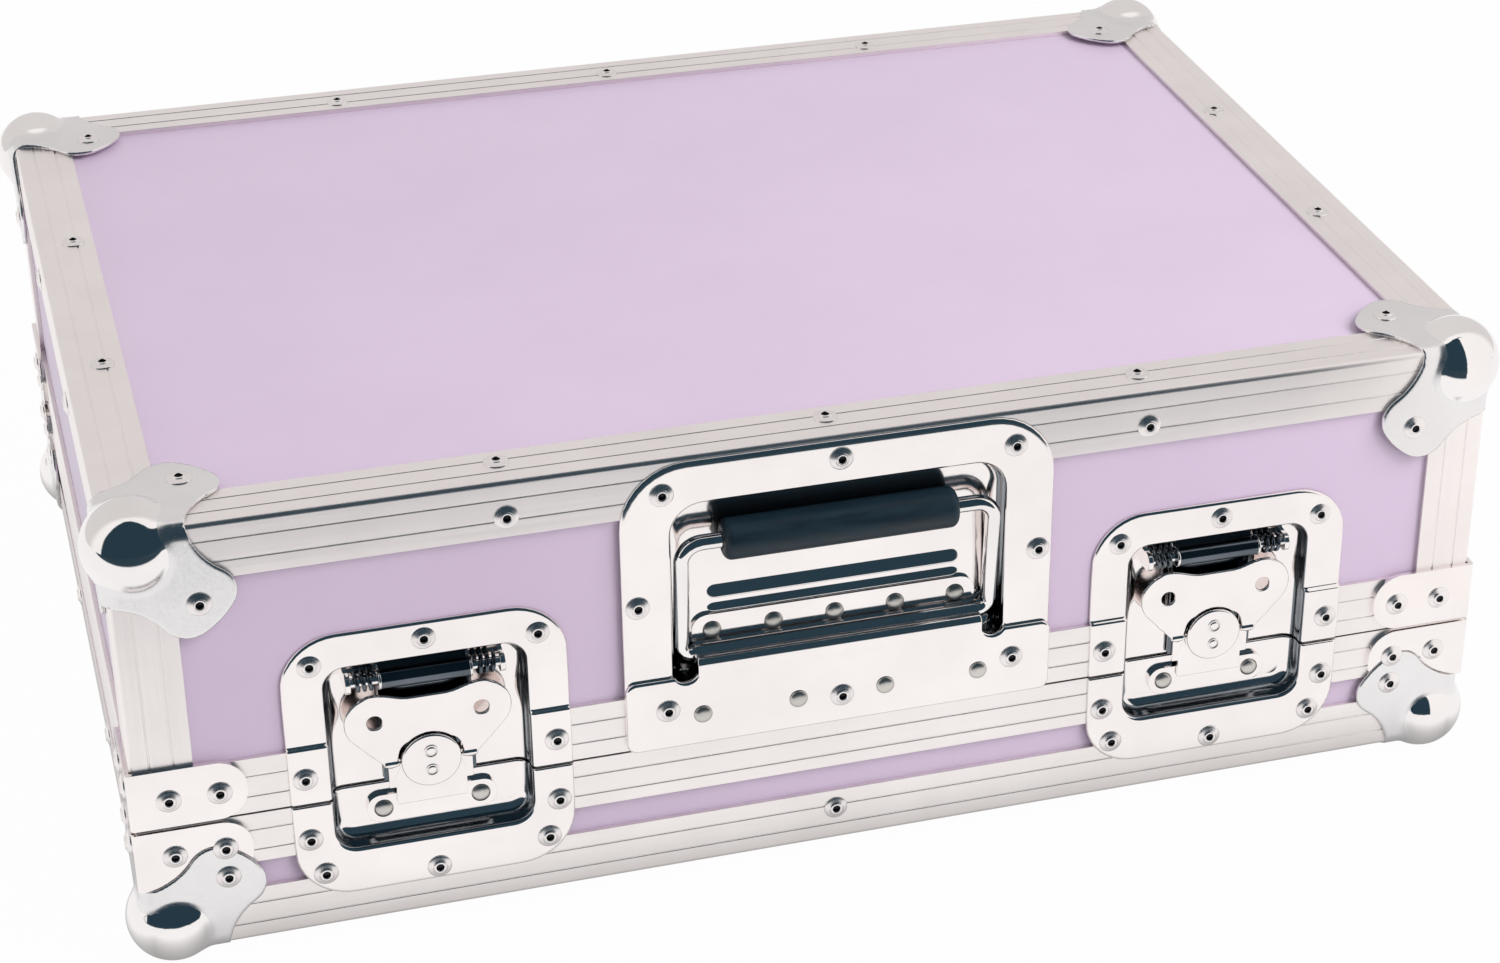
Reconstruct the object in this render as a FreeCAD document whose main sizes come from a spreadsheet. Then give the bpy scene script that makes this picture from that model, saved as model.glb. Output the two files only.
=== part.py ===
"""Flight case: plywood panels in aluminium edge profiles, hinged lid, recessed handle and butterfly latches.

Frame: X to the right along the front, Y from the front to the back, Z up.  The origin is the middle of the
case on the surface that its four lower ball corners stand on.  All lengths are in millimetres.
"""
import FreeCAD, Part
import math
import os
from types import SimpleNamespace

import Sketcher

SIZES = {
    # whole case, over the edge profiles
    "case_width": 520.0,
    "case_depth": 373.0,
    "case_height": 176.0,
    "seam_height": 55.0,
    "seam_gap": 0.6,
    "panel_thick": 7.0,
    "overrun": 2.0,
    # edge angles
    "edge_wall": 1.8,
    "edge_flange": 22.5,
    "edge_nose": 2.0,
    "flute_first": 7.0,
    "flute_second": 15.5,
    "flute_width": 0.6,
    "flute_depth": 0.3,
    # closing profiles of lid and base
    "lid_rim_height": 23.2,
    "base_rim_height": 21.3,
    "rim_inner_wall": 1.2,
    "rim_inner_height": 12.0,
    "lid_rim_web": 2.2,
    "base_rim_web": 5.2,
    "tongue_inset": 4.6,
    "tongue_root": 2.6,
    "tongue_tip": 1.6,
    "tongue_height": 3.0,
    "tongue_clear": 0.8,
    # ball corners
    "ball_radius": 17.3,
    "ball_inset": 10.2,
    "lobe_reach": 44.0,
    "lobe_plate": 1.8,
    "lobe_rivet_inset": 30.5,
    # braces over the seam corners
    "brace_plate": 1.8,
    "brace_arm": 40.5,
    "brace_height": 24.0,
    "brace_end_radius": 11.0,
    "brace_seam_gap": 0.8,
    "brace_corner_radius": 1.4,
    "brace_tab_width": 24.0,
    "brace_tab_drop": 31.5,
    "brace_lobe_gap": 0.8,
    "brace_rivet_first": 12.5,
    "brace_rivet_second": 30.5,
    "brace_rivet_rise": 12.0,
    # rivets
    "pop_radius": 4.6,
    "pop_crown": 2.6,
    "pop_height": 1.5,
    "solid_radius": 3.6,
    "solid_crown": 2.2,
    "solid_height": 1.6,
    "edge_rivet_inset": 14.5,
    # foam pads
    "foam_thick": 8.0,
    "foam_gap": 0.3,
    # handle
    "handle_offset": 1.5,
    "handle_height": 119.0,
    "handle_sheet": 1.2,
    "handle_top_radius": 25.0,
    "handle_foot_radius": 4.0,
    "handle_recess_width": 127.0,
    "handle_recess_low": 26.0,
    "handle_recess_high": 101.0,
    "handle_recess_radius": 12.0,
    "handle_recess_foot": 5.5,
    "handle_recess_depth": 10.0,
    "handle_rib_length": 98.0,
    "handle_rib_width": 4.4,
    "handle_rib_height": 1.0,
    "handle_rib_low": 52.0,
    "handle_rib_step": 6.8,
    "strap_thick": 1.8,
    "strap_height": 30.4,
    "strap_notch": 4.5,
    "strap_lip_width": 110.0,
    "strap_lip_thick": 1.2,
    "strap_lip_depth": 3.4,
    "strap_lip_high": 37.0,
    "strap_lip_radius": 3.1,
    "bail_rod": 6.0,
    "bail_span": 119.0,
    "bail_arm": 48.4,
    "bail_bend": 7.5,
    "bail_foot_bend": 4.4,
    "bail_tuck": 34.0,
    "bail_fit": 0.05,
    "pivot_rise": 36.0,
    "barrel_radius": 4.0,
    "barrel_end_gap": 0.3,
    "barrel_floor_gap": 0.1,
    "hinge_plate_thick": 1.6,
    "hinge_plate_height": 13.5,
    "hinge_plate_radius": 6.0,
    "hinge_rivet_rise": 6.9,
    "grip_length": 89.0,
    "grip_radius": 7.8,
    "grip_round": 3.0,
    "grip_floor_gap": 0.2,
    # latches
    "latch_sheet": 1.2,
    "latch_rise": 69.0,
    "latch_drop": 41.3,
    "latch_corner_radius": 21.0,
    "latch_joggle_gap": 0.3,
    "latch_recess_width": 73.0,
    "latch_recess_rise": 54.0,
    "latch_recess_drop": 22.0,
    "latch_recess_radius": 8.0,
    "latch_recess_depth": 8.6,
    "latch_cutout_gap": 0.4,
    "latch_pin_radius": 1.8,
    "latch_pin_rise": 46.0,
    "latch_pin_depth": 3.4,
    "latch_fit": 0.05,
    "lug_inset": 27.0,
    "lug_thick": 2.0,
    "lug_radius": 3.6,
    "carrier_width": 34.0,
    "carrier_plate": 1.4,
    "carrier_depth": 6.6,
    "carrier_barrel_radius": 3.8,
    "carrier_foot": 1.0,
    "hook_width": 31.0,
    "hook_toe_width": 26.0,
    "hook_plate": 1.4,
    "hook_depth": 5.0,
    "hook_top": 23.0,
    "hook_shoulder": -1.5,
    "hook_foot": -9.0,
    "hook_travel": 7.0,
    "hook_cam_clear": 0.9,
    "hub_rise": 10.0,
    "hub_radius": 11.0,
    "hub_face_depth": 0.3,
    "hub_seat_depth": 3.3,
    "hub_edge": 0.8,
    "cam_radius": 7.0,
    "shaft_radius": 3.0,
    "wing_lobe_offset": 19.5,
    "wing_lobe_rise": 19.0,
    "wing_lobe_radius": 11.0,
    "wing_neck_width": 34.0,
    "wing_bridge_rise": 27.5,
    "wing_hole_radius": 2.8,
    "wing_plate": 1.4,
    "wing_axis_depth": 1.9,
    "wing_hub_clear": 0.6,
    "wing_knuckle_radius": 1.4,
    "wing_pin_radius": 0.6,
    "keeper_width": 48.0,
    "keeper_top": -5.0,
    "keeper_foot": -16.5,
    "keeper_end_radius": 5.2,
    "keeper_thick": 2.1,
    "keeper_rivet_offset": 18.0,
    "spring_wire": 1.5,
    "spring_pin_gap": 0.5,
    "spring_pitch": 2.3,
    "spring_side_gap": 0.5,
    # back hinges
    "hinge_width": 60.0,
    "hinge_leaf": 1.8,
    "hinge_leaf_height": 21.0,
    "hinge_leaf_radius": 4.0,
    "hinge_axis_out": 3.6,
    "hinge_knuckle_radius": 3.3,
    "hinge_knuckle_gap": 0.4,
    "hinge_middle_width": 20.0,
    "hinge_notch_gap": 0.5,
    "hinge_pin_radius": 1.8,
    "hinge_fit": 0.05,
    "hinge_rivet_offset": 20.0,
    "hinge_rivet_height": 13.5,
}

SPRING_TURNS = 3
# points per turn on which a spring's gap to itself is measured, and how far its volume may depart
SPRING_POINTS = 36
VOLUME_SHARE = 0.01
# corner radius of ribs and lugs in shares of their half width
SOFT_CORNER_SHARE = 0.8

# widths and places along the front and back, in shares of the case's width
HANDLE_WIDTH_SHARE = 0.3173
LATCH_WIDTH_SHARE = 0.2
LATCH_OFFSET_SHARE = 0.29423
HINGE_OFFSET_SHARE = 0.26923
# outline of one ball corner lobe from its edge to its tip, in shares of the lobe's reach from the corner
LOBE_NECK_SHARES = ((0.65, 0.0), (0.74, 0.25), (0.91, 0.42))
LOBE_TIP_SHARES = ((1.0, 0.58), (0.95, 0.75), (0.86, 0.86))
# where a wing's flank meets its lobe, in shares of the lobe's radius outward and downward from its middle
WING_FLANK_SHARES = (0.737, 0.676)
# rivets along an edge, in shares of its length, and on the dishes, in shares of half width and height
WIDTH_RIVET_SHARES = (-0.2327, 0.0, 0.2327)
DEPTH_RIVET_SHARES = (-0.15, 0.15)
HANDLE_RIVET_SHARES = ((-0.81, 0.90), (0.0, 0.94), (0.81, 0.90), (-0.93, 0.52), (0.93, 0.52))
STRAP_RIVET_SHARES = ((-0.81, 0.561), (0.0, 0.398), (0.81, 0.561))
STRAP_SOLID_SHARES = (-0.65, -0.205, 0.205, 0.65)
STRAP_SOLID_RISE_SHARE = 0.443
HINGE_PLATE_SHARES = (-0.86, -0.43, 0.0, 0.43, 0.86)
LATCH_UPPER_SHARES = ((-0.79, 0.83), (0.0, 0.90), (0.79, 0.83))
LATCH_RIM_SHARES = ((-0.885, 0.165), (0.885, 0.165))
LATCH_LOWER_SHARES = ((-0.885, 0.36), (0.885, 0.36), (-0.80, 0.74), (0.0, 0.865), (0.80, 0.74))

FACE_NORMALS = {
    "front": FreeCAD.Vector(0, -1, 0),
    "back": FreeCAD.Vector(0, 1, 0),
    "left": FreeCAD.Vector(-1, 0, 0),
    "right": FreeCAD.Vector(1, 0, 0),
    "top": FreeCAD.Vector(0, 0, 1),
    "bottom": FreeCAD.Vector(0, 0, -1),
}
UP = FreeCAD.Vector(0, 0, 1)
ORIGIN = FreeCAD.Vector()
QUARTER = 90.0


class Size:
    """A length with its number and the sheet formula that gives it, so that sums of sizes stay bound."""

    def __init__(self, number, formula):
        self.number = number
        self.formula = formula

    def __add__(self, other):
        other = as_size(other)
        return Size(self.number + other.number, f"({self.formula} + {other.formula})")

    def __sub__(self, other):
        other = as_size(other)
        return Size(self.number - other.number, f"({self.formula} - {other.formula})")

    def __mul__(self, share):
        return Size(self.number * share, f"({self.formula} * {share})")

    def __truediv__(self, share):
        return Size(self.number / share, f"({self.formula} / {share})")

    def __neg__(self):
        return Size(-self.number, f"(0 - {self.formula})")

    __radd__ = __add__
    __rmul__ = __mul__


def as_size(value):
    return value if isinstance(value, Size) else Size(float(value), repr(float(value)))


doc = FreeCAD.newDocument("flight_case")
sheet = doc.addObject("Spreadsheet::Sheet", "sizes")
for row, (name, number) in enumerate(SIZES.items(), start=1):
    sheet.set(f"A{row}", name)
    sheet.set(f"B{row}", str(number))
    sheet.setAlias(f"B{row}", name)
doc.recompute()
s = SimpleNamespace(**{name: Size(number, f"sizes.{name}") for name, number in SIZES.items()})
nodes = []

# places that several pieces share
half_width = s.case_width / 2
half_depth = s.case_depth / 2
case_low = s.ball_radius - s.ball_inset
case_high = case_low + s.case_height
seam = case_low + s.seam_height
lid_low = seam + s.seam_gap / 2
base_high = seam - s.seam_gap / 2
panel_x = half_width - s.edge_wall
panel_y = half_depth - s.edge_wall
lid_rim_top = seam + s.lid_rim_height
base_rim_foot = seam - s.base_rim_height
rim_section = s.edge_wall + s.panel_thick + s.rim_inner_wall
latch_offset = s.case_width * LATCH_OFFSET_SHARE
hinge_offset = s.case_width * HINGE_OFFSET_SHARE


def bind(item, prop, value):
    """Sets one property of an object and ties it to the sheet."""
    item.setExpression(prop, as_size(value).formula)


def place(item, x, y, z, turn=None):
    """Puts an object at bound coordinates, turned about its own origin first."""
    x, y, z = as_size(x), as_size(y), as_size(z)
    base = FreeCAD.Vector(x.number, y.number, z.number)
    item.Placement = FreeCAD.Placement(base, turn or FreeCAD.Rotation())
    for letter, value in zip("xyz", (x, y, z)):
        bind(item, f"Placement.Base.{letter}", value)
    return item


def node(item, label):
    """Names an object as a finished piece of the case."""
    item.Label = label
    nodes.append(item)
    return item


def block(x_range, y_range, z_range):
    """A box between bound limits."""
    item = doc.addObject("Part::Box", "block")
    for prop, (low, high) in zip(("Length", "Width", "Height"), (x_range, y_range, z_range)):
        bind(item, prop, as_size(high) - low)
    return place(item, x_range[0], y_range[0], z_range[0])


def rod(radius, length, x, y, z, direction):
    """A cylinder from a point along a direction."""
    item = doc.addObject("Part::Cylinder", "rod")
    bind(item, "Radius", radius)
    bind(item, "Height", length)
    return place(item, x, y, z, FreeCAD.Rotation(UP, direction))


def cut(base, tool):
    item = doc.addObject("Part::Cut", "cut")
    item.Base = base
    item.Tool = tool
    item.Refine = True
    return item


def group(parts, label):
    """Several separate solids of the same kind as one piece list entry."""
    item = doc.addObject("Part::Compound", "group")
    item.Links = parts
    return node(item, label)


def new_body(label):
    return doc.addObject("PartDesign::Body", label)


def sketch_on(body, role, lift=0):
    """A sketch on one of the body's origin planes, lifted along the plane's normal."""
    plane = next(item for item in body.Origin.OriginFeatures if item.Role == role)
    drawing = body.newObject("Sketcher::SketchObject", "drawing")
    drawing.AttachmentSupport = [(plane, "")]
    drawing.MapMode = "FlatFace"
    lift = as_size(lift)
    drawing.AttachmentOffset = FreeCAD.Placement(FreeCAD.Vector(0, 0, lift.number), FreeCAD.Rotation())
    bind(drawing, "AttachmentOffset.Base.z", lift)
    return drawing


def fix(drawing, kind, places, value):
    """Adds one dimension to a sketch and ties it to the sheet."""
    value = as_size(value)
    index = drawing.addConstraint(Sketcher.Constraint(kind, *places, value.number))
    bind(drawing, f"Constraints[{index}]", value)


def fix_point(drawing, item, spot, x, y):
    fix(drawing, "DistanceX", (-1, 1, item, spot), x)
    fix(drawing, "DistanceY", (-1, 1, item, spot), y)


def flat(x, y):
    return FreeCAD.Vector(as_size(x).number, as_size(y).number, 0)


def draw_polygon(drawing, points):
    """A closed outline of straight lines through bound points."""
    first = drawing.GeometryCount
    count = len(points)
    for index in range(count):
        ends = flat(*points[index]), flat(*points[(index + 1) % count])
        drawing.addGeometry(Part.LineSegment(*ends), False)
    for index, point in enumerate(points):
        after = first + (index + 1) % count
        drawing.addConstraint(Sketcher.Constraint("Coincident", first + index, 2, after, 1))
        fix_point(drawing, first + index, 1, *point)


def draw_circle(drawing, x, y, radius):
    circle = Part.Circle(flat(x, y), UP, radius.number)
    item = drawing.addGeometry(circle, False)
    fix_point(drawing, item, 3, x, y)
    fix(drawing, "Radius", (item,), radius)


def draw_rounded(drawing, x_range, y_range, radii, gap=None):
    """A rectangle with a radius, or None, at each corner: lower left, lower right, upper right, upper left.

    A gap leaves the lower side open between two bound places, which makes the outline a path.
    """
    (left, right), (low, high) = x_range, y_range
    corners = (
        (left, low, 1, 1, math.pi, "Horizontal", "Vertical"),
        (right, low, -1, 1, 1.5 * math.pi, "Vertical", "Horizontal"),
        (right, high, -1, -1, 0.0, "Horizontal", "Vertical"),
        (left, high, 1, -1, 0.5 * math.pi, "Vertical", "Horizontal"),
    )
    starts, ends = [], []
    for (x, y, x_way, y_way, angle, start_way, end_way), radius in zip(corners, radii):
        x, y = as_size(x), as_size(y)
        if radius is None:
            starts.append((None, 0, x, y))
            ends.append((None, 0, x, y))
            continue
        centre_x = x + radius * x_way
        centre_y = y + radius * y_way
        circle = Part.Circle(flat(centre_x, centre_y), UP, radius.number)
        arc = drawing.addGeometry(Part.ArcOfCircle(circle, angle, angle + math.pi / 2), False)
        fix_point(drawing, arc, 3, centre_x, centre_y)
        fix(drawing, "Radius", (arc,), radius)
        drawing.addConstraint(Sketcher.Constraint(start_way, arc, 1, arc, 3))
        drawing.addConstraint(Sketcher.Constraint(end_way, arc, 2, arc, 3))
        starts.append((arc, 1, centre_x, y) if start_way == "Vertical" else (arc, 1, x, centre_y))
        ends.append((arc, 2, centre_x, y) if end_way == "Vertical" else (arc, 2, x, centre_y))
    for index in range(len(corners)):
        tail, head = ends[index], starts[(index + 1) % len(corners)]
        if gap is not None and index == 0:
            draw_line(drawing, tail, (None, 0, as_size(gap[0]), as_size(low)))
            draw_line(drawing, (None, 0, as_size(gap[1]), as_size(low)), head)
        else:
            draw_line(drawing, tail, head)


def draw_line(drawing, tail, head):
    """A line whose ends join an arc's end or stand at bound places."""
    line = drawing.addGeometry(Part.LineSegment(flat(*tail[2:]), flat(*head[2:])), False)
    for spot, (item, item_spot, x, y) in ((1, tail), (2, head)):
        if item is None:
            fix_point(drawing, line, spot, x, y)
        else:
            drawing.addConstraint(Sketcher.Constraint("Coincident", line, spot, item, item_spot))


def pad(body, drawing, thick, both_ways=False, inward=False):
    feature = body.newObject("PartDesign::Pad", "pad")
    feature.Profile = drawing
    bind(feature, "Length", thick)
    feature.SideType = "Symmetric" if both_ways else "One side"
    feature.Reversed = inward
    doc.recompute()
    return feature


def pocket(body, drawing, depth=None):
    """Cuts against the sketch's normal to a depth, or right through both ways, and makes sure that it cuts."""
    before = body.Shape.Volume
    feature = body.newObject("PartDesign::Pocket", "pocket")
    feature.Profile = drawing
    if depth is None:
        feature.Type = "ThroughAll"
        feature.SideType = "Symmetric"
    else:
        bind(feature, "Length", depth)
    doc.recompute()
    if not body.Shape.Volume < before:
        raise RuntimeError(f"a pocket in {body.Name} removes nothing")
    return feature


def round_edges(body, radius, wanted):
    """Rounds the body's edges whose middle passes a test."""
    base = body.Tip
    names = []
    for index, edge in enumerate(base.Shape.Edges, start=1):
        if wanted(edge.CenterOfMass):
            names.append(f"Edge{index}")
    feature = body.newObject("PartDesign::Fillet", "rounding")
    feature.Base = (base, names)
    bind(feature, "Radius", radius)
    doc.recompute()


def near(value, other):
    return math.isclose(value, as_size(other).number, abs_tol=1e-6)


def fluted(length):
    """Outer side of a profile flange as (along, depth) points, with its two shallow flutes."""
    points = []
    for start in (s.flute_first, s.flute_second):
        points.append((start, 0))
        points.append((start, s.flute_depth))
        points.append((start + s.flute_width, s.flute_depth))
        points.append((start + s.flute_width, 0))
    return points + [(length, 0)]


def mitre(body, role, length, reach, ends, way):
    """Cuts the ends of a profile at 45 degrees in one plane; way is the side that the flange lies on."""
    drawing = sketch_on(body, role)
    far = reach + s.overrun
    for end in ends:
        tip = length / 2 * end
        outer = tip + s.overrun * end
        corner = (tip - far * end, far * way)
        draw_polygon(drawing, [(outer, -s.overrun * way), (outer, far * way), corner])
    pocket(body, drawing)


def edge_angle(label, length, ends):
    """An edge profile along X with its outer corner on the axis, flanges towards +Y and -Z."""
    body = new_body(label)
    drawing = sketch_on(body, "YZ_Plane")
    side = fluted(s.edge_flange)
    top = [(along, -as_size(depth)) for along, depth in side]
    front = [(depth, -as_size(along)) for along, depth in reversed(side)]
    inner = [
        (s.edge_flange, -s.edge_wall),
        (s.edge_wall, -s.edge_wall),
        (s.edge_wall, -s.edge_flange),
    ]
    draw_polygon(drawing, [(0, 0)] + top + inner + front)
    pad(body, drawing, length, both_ways=True)
    round_edges(body, s.edge_nose, lambda middle: near(middle.y, 0) and near(middle.z, 0))
    mitre(body, "XY_Plane", length, s.edge_flange, ends, 1)
    mitre(body, "XZ_Plane", length, s.edge_flange, ends, -1)
    return body


def lid_rim_outline():
    """Section of the lid's closing profile: channel for the panel above, tongue below."""
    low = s.seam_gap / 2
    channel = s.edge_wall + s.panel_thick
    outer = [(depth, along) for along, depth in fluted(s.lid_rim_height)]
    return [(0, low)] + outer + [
        (s.edge_wall, s.lid_rim_height),
        (s.edge_wall, low + s.lid_rim_web),
        (channel, low + s.lid_rim_web),
        (channel, s.rim_inner_height),
        (rim_section, s.rim_inner_height),
        (rim_section, low),
        (s.tongue_inset + s.tongue_root / 2, low),
        (s.tongue_inset + s.tongue_tip / 2, low - s.tongue_height),
        (s.tongue_inset - s.tongue_tip / 2, low - s.tongue_height),
        (s.tongue_inset - s.tongue_root / 2, low),
    ]


def base_rim_outline():
    """Section of the base's closing profile: groove for the tongue above, channel for the panel below."""
    high = -s.seam_gap / 2
    channel = s.edge_wall + s.panel_thick
    floor = high - s.tongue_height + s.seam_gap - s.tongue_clear
    groove = s.tongue_root / 2 + s.tongue_clear
    outer = [(depth, -as_size(along)) for along, depth in fluted(s.base_rim_height)]
    return [(0, high)] + outer + [
        (s.edge_wall, -s.base_rim_height),
        (s.edge_wall, high - s.base_rim_web),
        (channel, high - s.base_rim_web),
        (channel, -s.rim_inner_height),
        (rim_section, -s.rim_inner_height),
        (rim_section, high),
        (s.tongue_inset + groove, high),
        (s.tongue_inset + groove, floor),
        (s.tongue_inset - groove, floor),
        (s.tongue_inset - groove, high),
    ]


latch_tub_half = s.latch_recess_width / 2 + s.latch_sheet
latch_notch_half = latch_tub_half + s.latch_cutout_gap


def closing_profile(label, length, outline, latched):
    """A closing profile along X with its outer face on the axis plane and the seam at its origin."""
    body = new_body(label)
    drawing = sketch_on(body, "YZ_Plane")
    draw_polygon(drawing, outline)
    pad(body, drawing, length, both_ways=True)
    mitre(body, "XY_Plane", length, rim_section, (-1, 1), 1)
    if latched:
        drawing = sketch_on(body, "XZ_Plane")
        reach = s.lid_rim_height + s.overrun
        for side in (-1, 1):
            middle = latch_offset * side
            left, right = middle - latch_notch_half, middle + latch_notch_half
            draw_polygon(drawing, [(left, -reach), (right, -reach), (right, reach), (left, reach)])
        pocket(body, drawing, s.edge_wall + s.panel_thick)
    return body


def yaw(steps):
    return FreeCAD.Rotation(UP, QUARTER * steps)


# each side of the case: name, length, outward place and quarter turns from the front
SIDES = (
    ("front", s.case_width, 0, -half_depth, 0),
    ("right", s.case_depth, half_width, 0, 1),
    ("back", s.case_width, 0, half_depth, 2),
    ("left", s.case_depth, -half_width, 0, 3),
)
# each upright corner: place and quarter turns from the front left one
CORNERS = (
    (-half_width, -half_depth, 0),
    (half_width, -half_depth, 1),
    (half_width, half_depth, 2),
    (-half_width, half_depth, 3),
)

# edge angles and closing profiles of lid and base
tip_down = FreeCAD.Rotation(FreeCAD.Vector(1, 0, 0), QUARTER)
for name, length, x, y, steps in SIDES:
    top_edge = edge_angle(f"lid_edge_{name}", length, (-1, 1))
    node(place(top_edge, x, y, case_high, yaw(steps)), f"lid_edge_{name}")
    low_edge = edge_angle(f"base_edge_{name}", length, (-1, 1))
    node(place(low_edge, x, y, case_low, yaw(steps) * tip_down), f"base_edge_{name}")
    lid_rim = closing_profile(f"lid_rim_{name}", length, lid_rim_outline(), name == "front")
    node(place(lid_rim, x, y, seam, yaw(steps)), f"lid_rim_{name}")
    base_rim = closing_profile(f"base_rim_{name}", length, base_rim_outline(), name == "front")
    node(place(base_rim, x, y, seam, yaw(steps)), f"base_rim_{name}")

# upright corner angles, mitred into the edge angles and square on the closing profiles
lid_post = case_high - lid_rim_top
base_post = base_rim_foot - case_low
stand_up = FreeCAD.Rotation(FreeCAD.Vector(0, 0, 1), FreeCAD.Vector(0, 1, 0), FreeCAD.Vector(-1, 0, 0), "ZXY")
lid_posts, base_posts = [], []
for x, y, steps in CORNERS:
    post = edge_angle("lid_post", lid_post, (1,))
    lid_posts.append(place(post, x, y, lid_rim_top + lid_post / 2, yaw(steps) * stand_up))
    post = edge_angle("base_post", base_post, (-1,))
    base_posts.append(place(post, x, y, case_low + base_post / 2, yaw(steps) * stand_up))
group(lid_posts, "lid_corner_angles")
group(base_posts, "base_corner_angles")

# panels
top_under = case_high - s.edge_wall - s.panel_thick
floor_top = case_low + s.edge_wall + s.panel_thick
lid_wall = (lid_low + s.lid_rim_web, top_under)
base_wall = (floor_top, base_high - s.base_rim_web)
inner_x = panel_x - s.panel_thick
inner_y = panel_y - s.panel_thick
node(block((-panel_x, panel_x), (-panel_y, panel_y), (top_under, top_under + s.panel_thick)), "lid_panel_top")
node(block((-panel_x, panel_x), (-panel_y, panel_y), (floor_top - s.panel_thick, floor_top)), "base_panel_bottom")
for part, wall in (("lid", lid_wall), ("base", base_wall)):
    node(block((-panel_x, panel_x), (inner_y, panel_y), wall), f"{part}_panel_back")
    node(block((-panel_x, -inner_x), (-inner_y, inner_y), wall), f"{part}_panel_left")
    node(block((inner_x, panel_x), (-inner_y, inner_y), wall), f"{part}_panel_right")


def front_panel(label, low, high, latch_reach):
    """A front panel with openings for the latch dishes, which run out through its edge at the seam."""
    body = new_body(label)
    drawing = sketch_on(body, "XZ_Plane", -s.edge_wall)
    draw_polygon(drawing, [(-panel_x, low), (panel_x, low), (panel_x, high), (-panel_x, high)])
    pad(body, drawing, s.panel_thick, inward=True)
    drawing = sketch_on(body, "XZ_Plane")
    for side in (-1, 1):
        middle = latch_offset * side
        left, right = middle - latch_notch_half, middle + latch_notch_half
        draw_polygon(drawing, [(left, 0), (right, 0), (right, latch_reach), (left, latch_reach)])
    pocket(body, drawing)
    return node(place(body, 0, -half_depth, seam), label)


def recess_radii(grow):
    """Corner radii of the handle's recess, grown outward, tighter at its foot."""
    foot, crown = s.handle_recess_foot + grow, s.handle_recess_radius + grow
    return foot, foot, crown, crown


def handle_opening(body, rise, depth):
    """Cuts the opening for the handle's tub, with the seam at a rise in the body's own frame."""
    drawing = sketch_on(body, "XZ_Plane")
    half = handle_tub_half + s.latch_cutout_gap
    rim = s.handle_sheet + s.latch_cutout_gap
    draw_rounded(drawing, (s.handle_offset - half, s.handle_offset + half),
                 (s.handle_recess_low - rim + rise, s.handle_recess_high + rim + rise), recess_radii(rim))
    pocket(body, drawing, depth)


handle_tub_half = s.handle_recess_width / 2 + s.handle_sheet
front = front_panel("lid_panel_front", lid_wall[0] - seam, lid_wall[1] - seam,
                    s.latch_recess_rise + s.latch_sheet + s.latch_cutout_gap)
handle_opening(front, 0, s.edge_wall + s.panel_thick)
handle_opening(doc.getObject("lid_edge_front"), seam - case_high, s.edge_wall)
front_panel("base_panel_front", base_wall[0] - seam, base_wall[1] - seam,
            -s.latch_recess_drop - s.latch_sheet - s.latch_cutout_gap)

# foam pads on the floor and under the top
foam_x = (-inner_x + s.foam_gap, inner_x - s.foam_gap)
foam_y = (-inner_y + s.foam_gap, inner_y - s.foam_gap)
node(block(foam_x, foam_y, (floor_top, floor_top + s.foam_thick)), "base_foam")
node(block(foam_x, foam_y, (top_under - s.foam_thick, top_under)), "lid_foam")


def lobe_point(shares):
    """A point of the lobe's outline, in the quarter where the case lies towards -X and -Y."""
    return FreeCAD.Vector(-shares[0] * s.lobe_reach.number, -shares[1] * s.lobe_reach.number, 0)


def lobe_face(grow):
    """Outline of a lobe: neck and tip arcs on both sides of its diagonal, wrapped over both case edges."""
    def mirrored(shares):
        return shares[1], shares[0]

    wrap = s.lobe_plate.number
    start, neck, shoulder = LOBE_NECK_SHARES
    tip, cheek, nose = LOBE_TIP_SHARES
    arcs = [
        (start, neck, shoulder),
        (shoulder, tip, cheek),
        (cheek, nose, mirrored(cheek)),
        (mirrored(cheek), mirrored(tip), mirrored(shoulder)),
        (mirrored(shoulder), mirrored(neck), mirrored(start)),
    ]
    edges = [Part.Arc(*(lobe_point(shares) for shares in arc)).toShape() for arc in arcs]
    left = lobe_point(start)
    low = lobe_point(mirrored(start))
    corners = [
        low,
        FreeCAD.Vector(wrap, low.y, 0),
        FreeCAD.Vector(wrap, wrap, 0),
        FreeCAD.Vector(left.x, wrap, 0),
        left,
    ]
    for tail, head in zip(corners, corners[1:]):
        edges.append(Part.LineSegment(tail, head).toShape())
    face = Part.Face(Part.Wire(Part.__sortEdges__(edges)))
    return face.makeOffset2D(grow) if grow else face


def ball_shape(grow=0.0):
    """A ball corner at a case corner that points along (1, 1, 1): ball, three lobes, hollow for the case."""
    diagonal = FreeCAD.Vector(1, 1, 1)
    depth = s.ball_inset.number
    ball = Part.makeSphere(s.ball_radius.number + grow, FreeCAD.Vector(-depth, -depth, -depth))
    lobe = lobe_face(grow).extrude(FreeCAD.Vector(0, 0, s.lobe_plate.number + grow))
    lobes = []
    for turn in (0, 1, 2):
        copy = lobe.copy()
        copy.rotate(ORIGIN, diagonal, 4 * QUARTER / 3 * turn)
        lobes.append(copy)
    reach = (s.ball_radius + s.lobe_reach).number
    inside = Part.makeBox(reach, reach, reach, FreeCAD.Vector(-reach, -reach, -reach))
    return ball.fuse(lobes).cut(inside).removeSplitter()


def ball_corner(shape, x, y, z, turn):
    item = doc.addObject("Part::Feature", "ball_corner")
    item.Shape = shape
    return place(item, x, y, z, turn)


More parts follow.
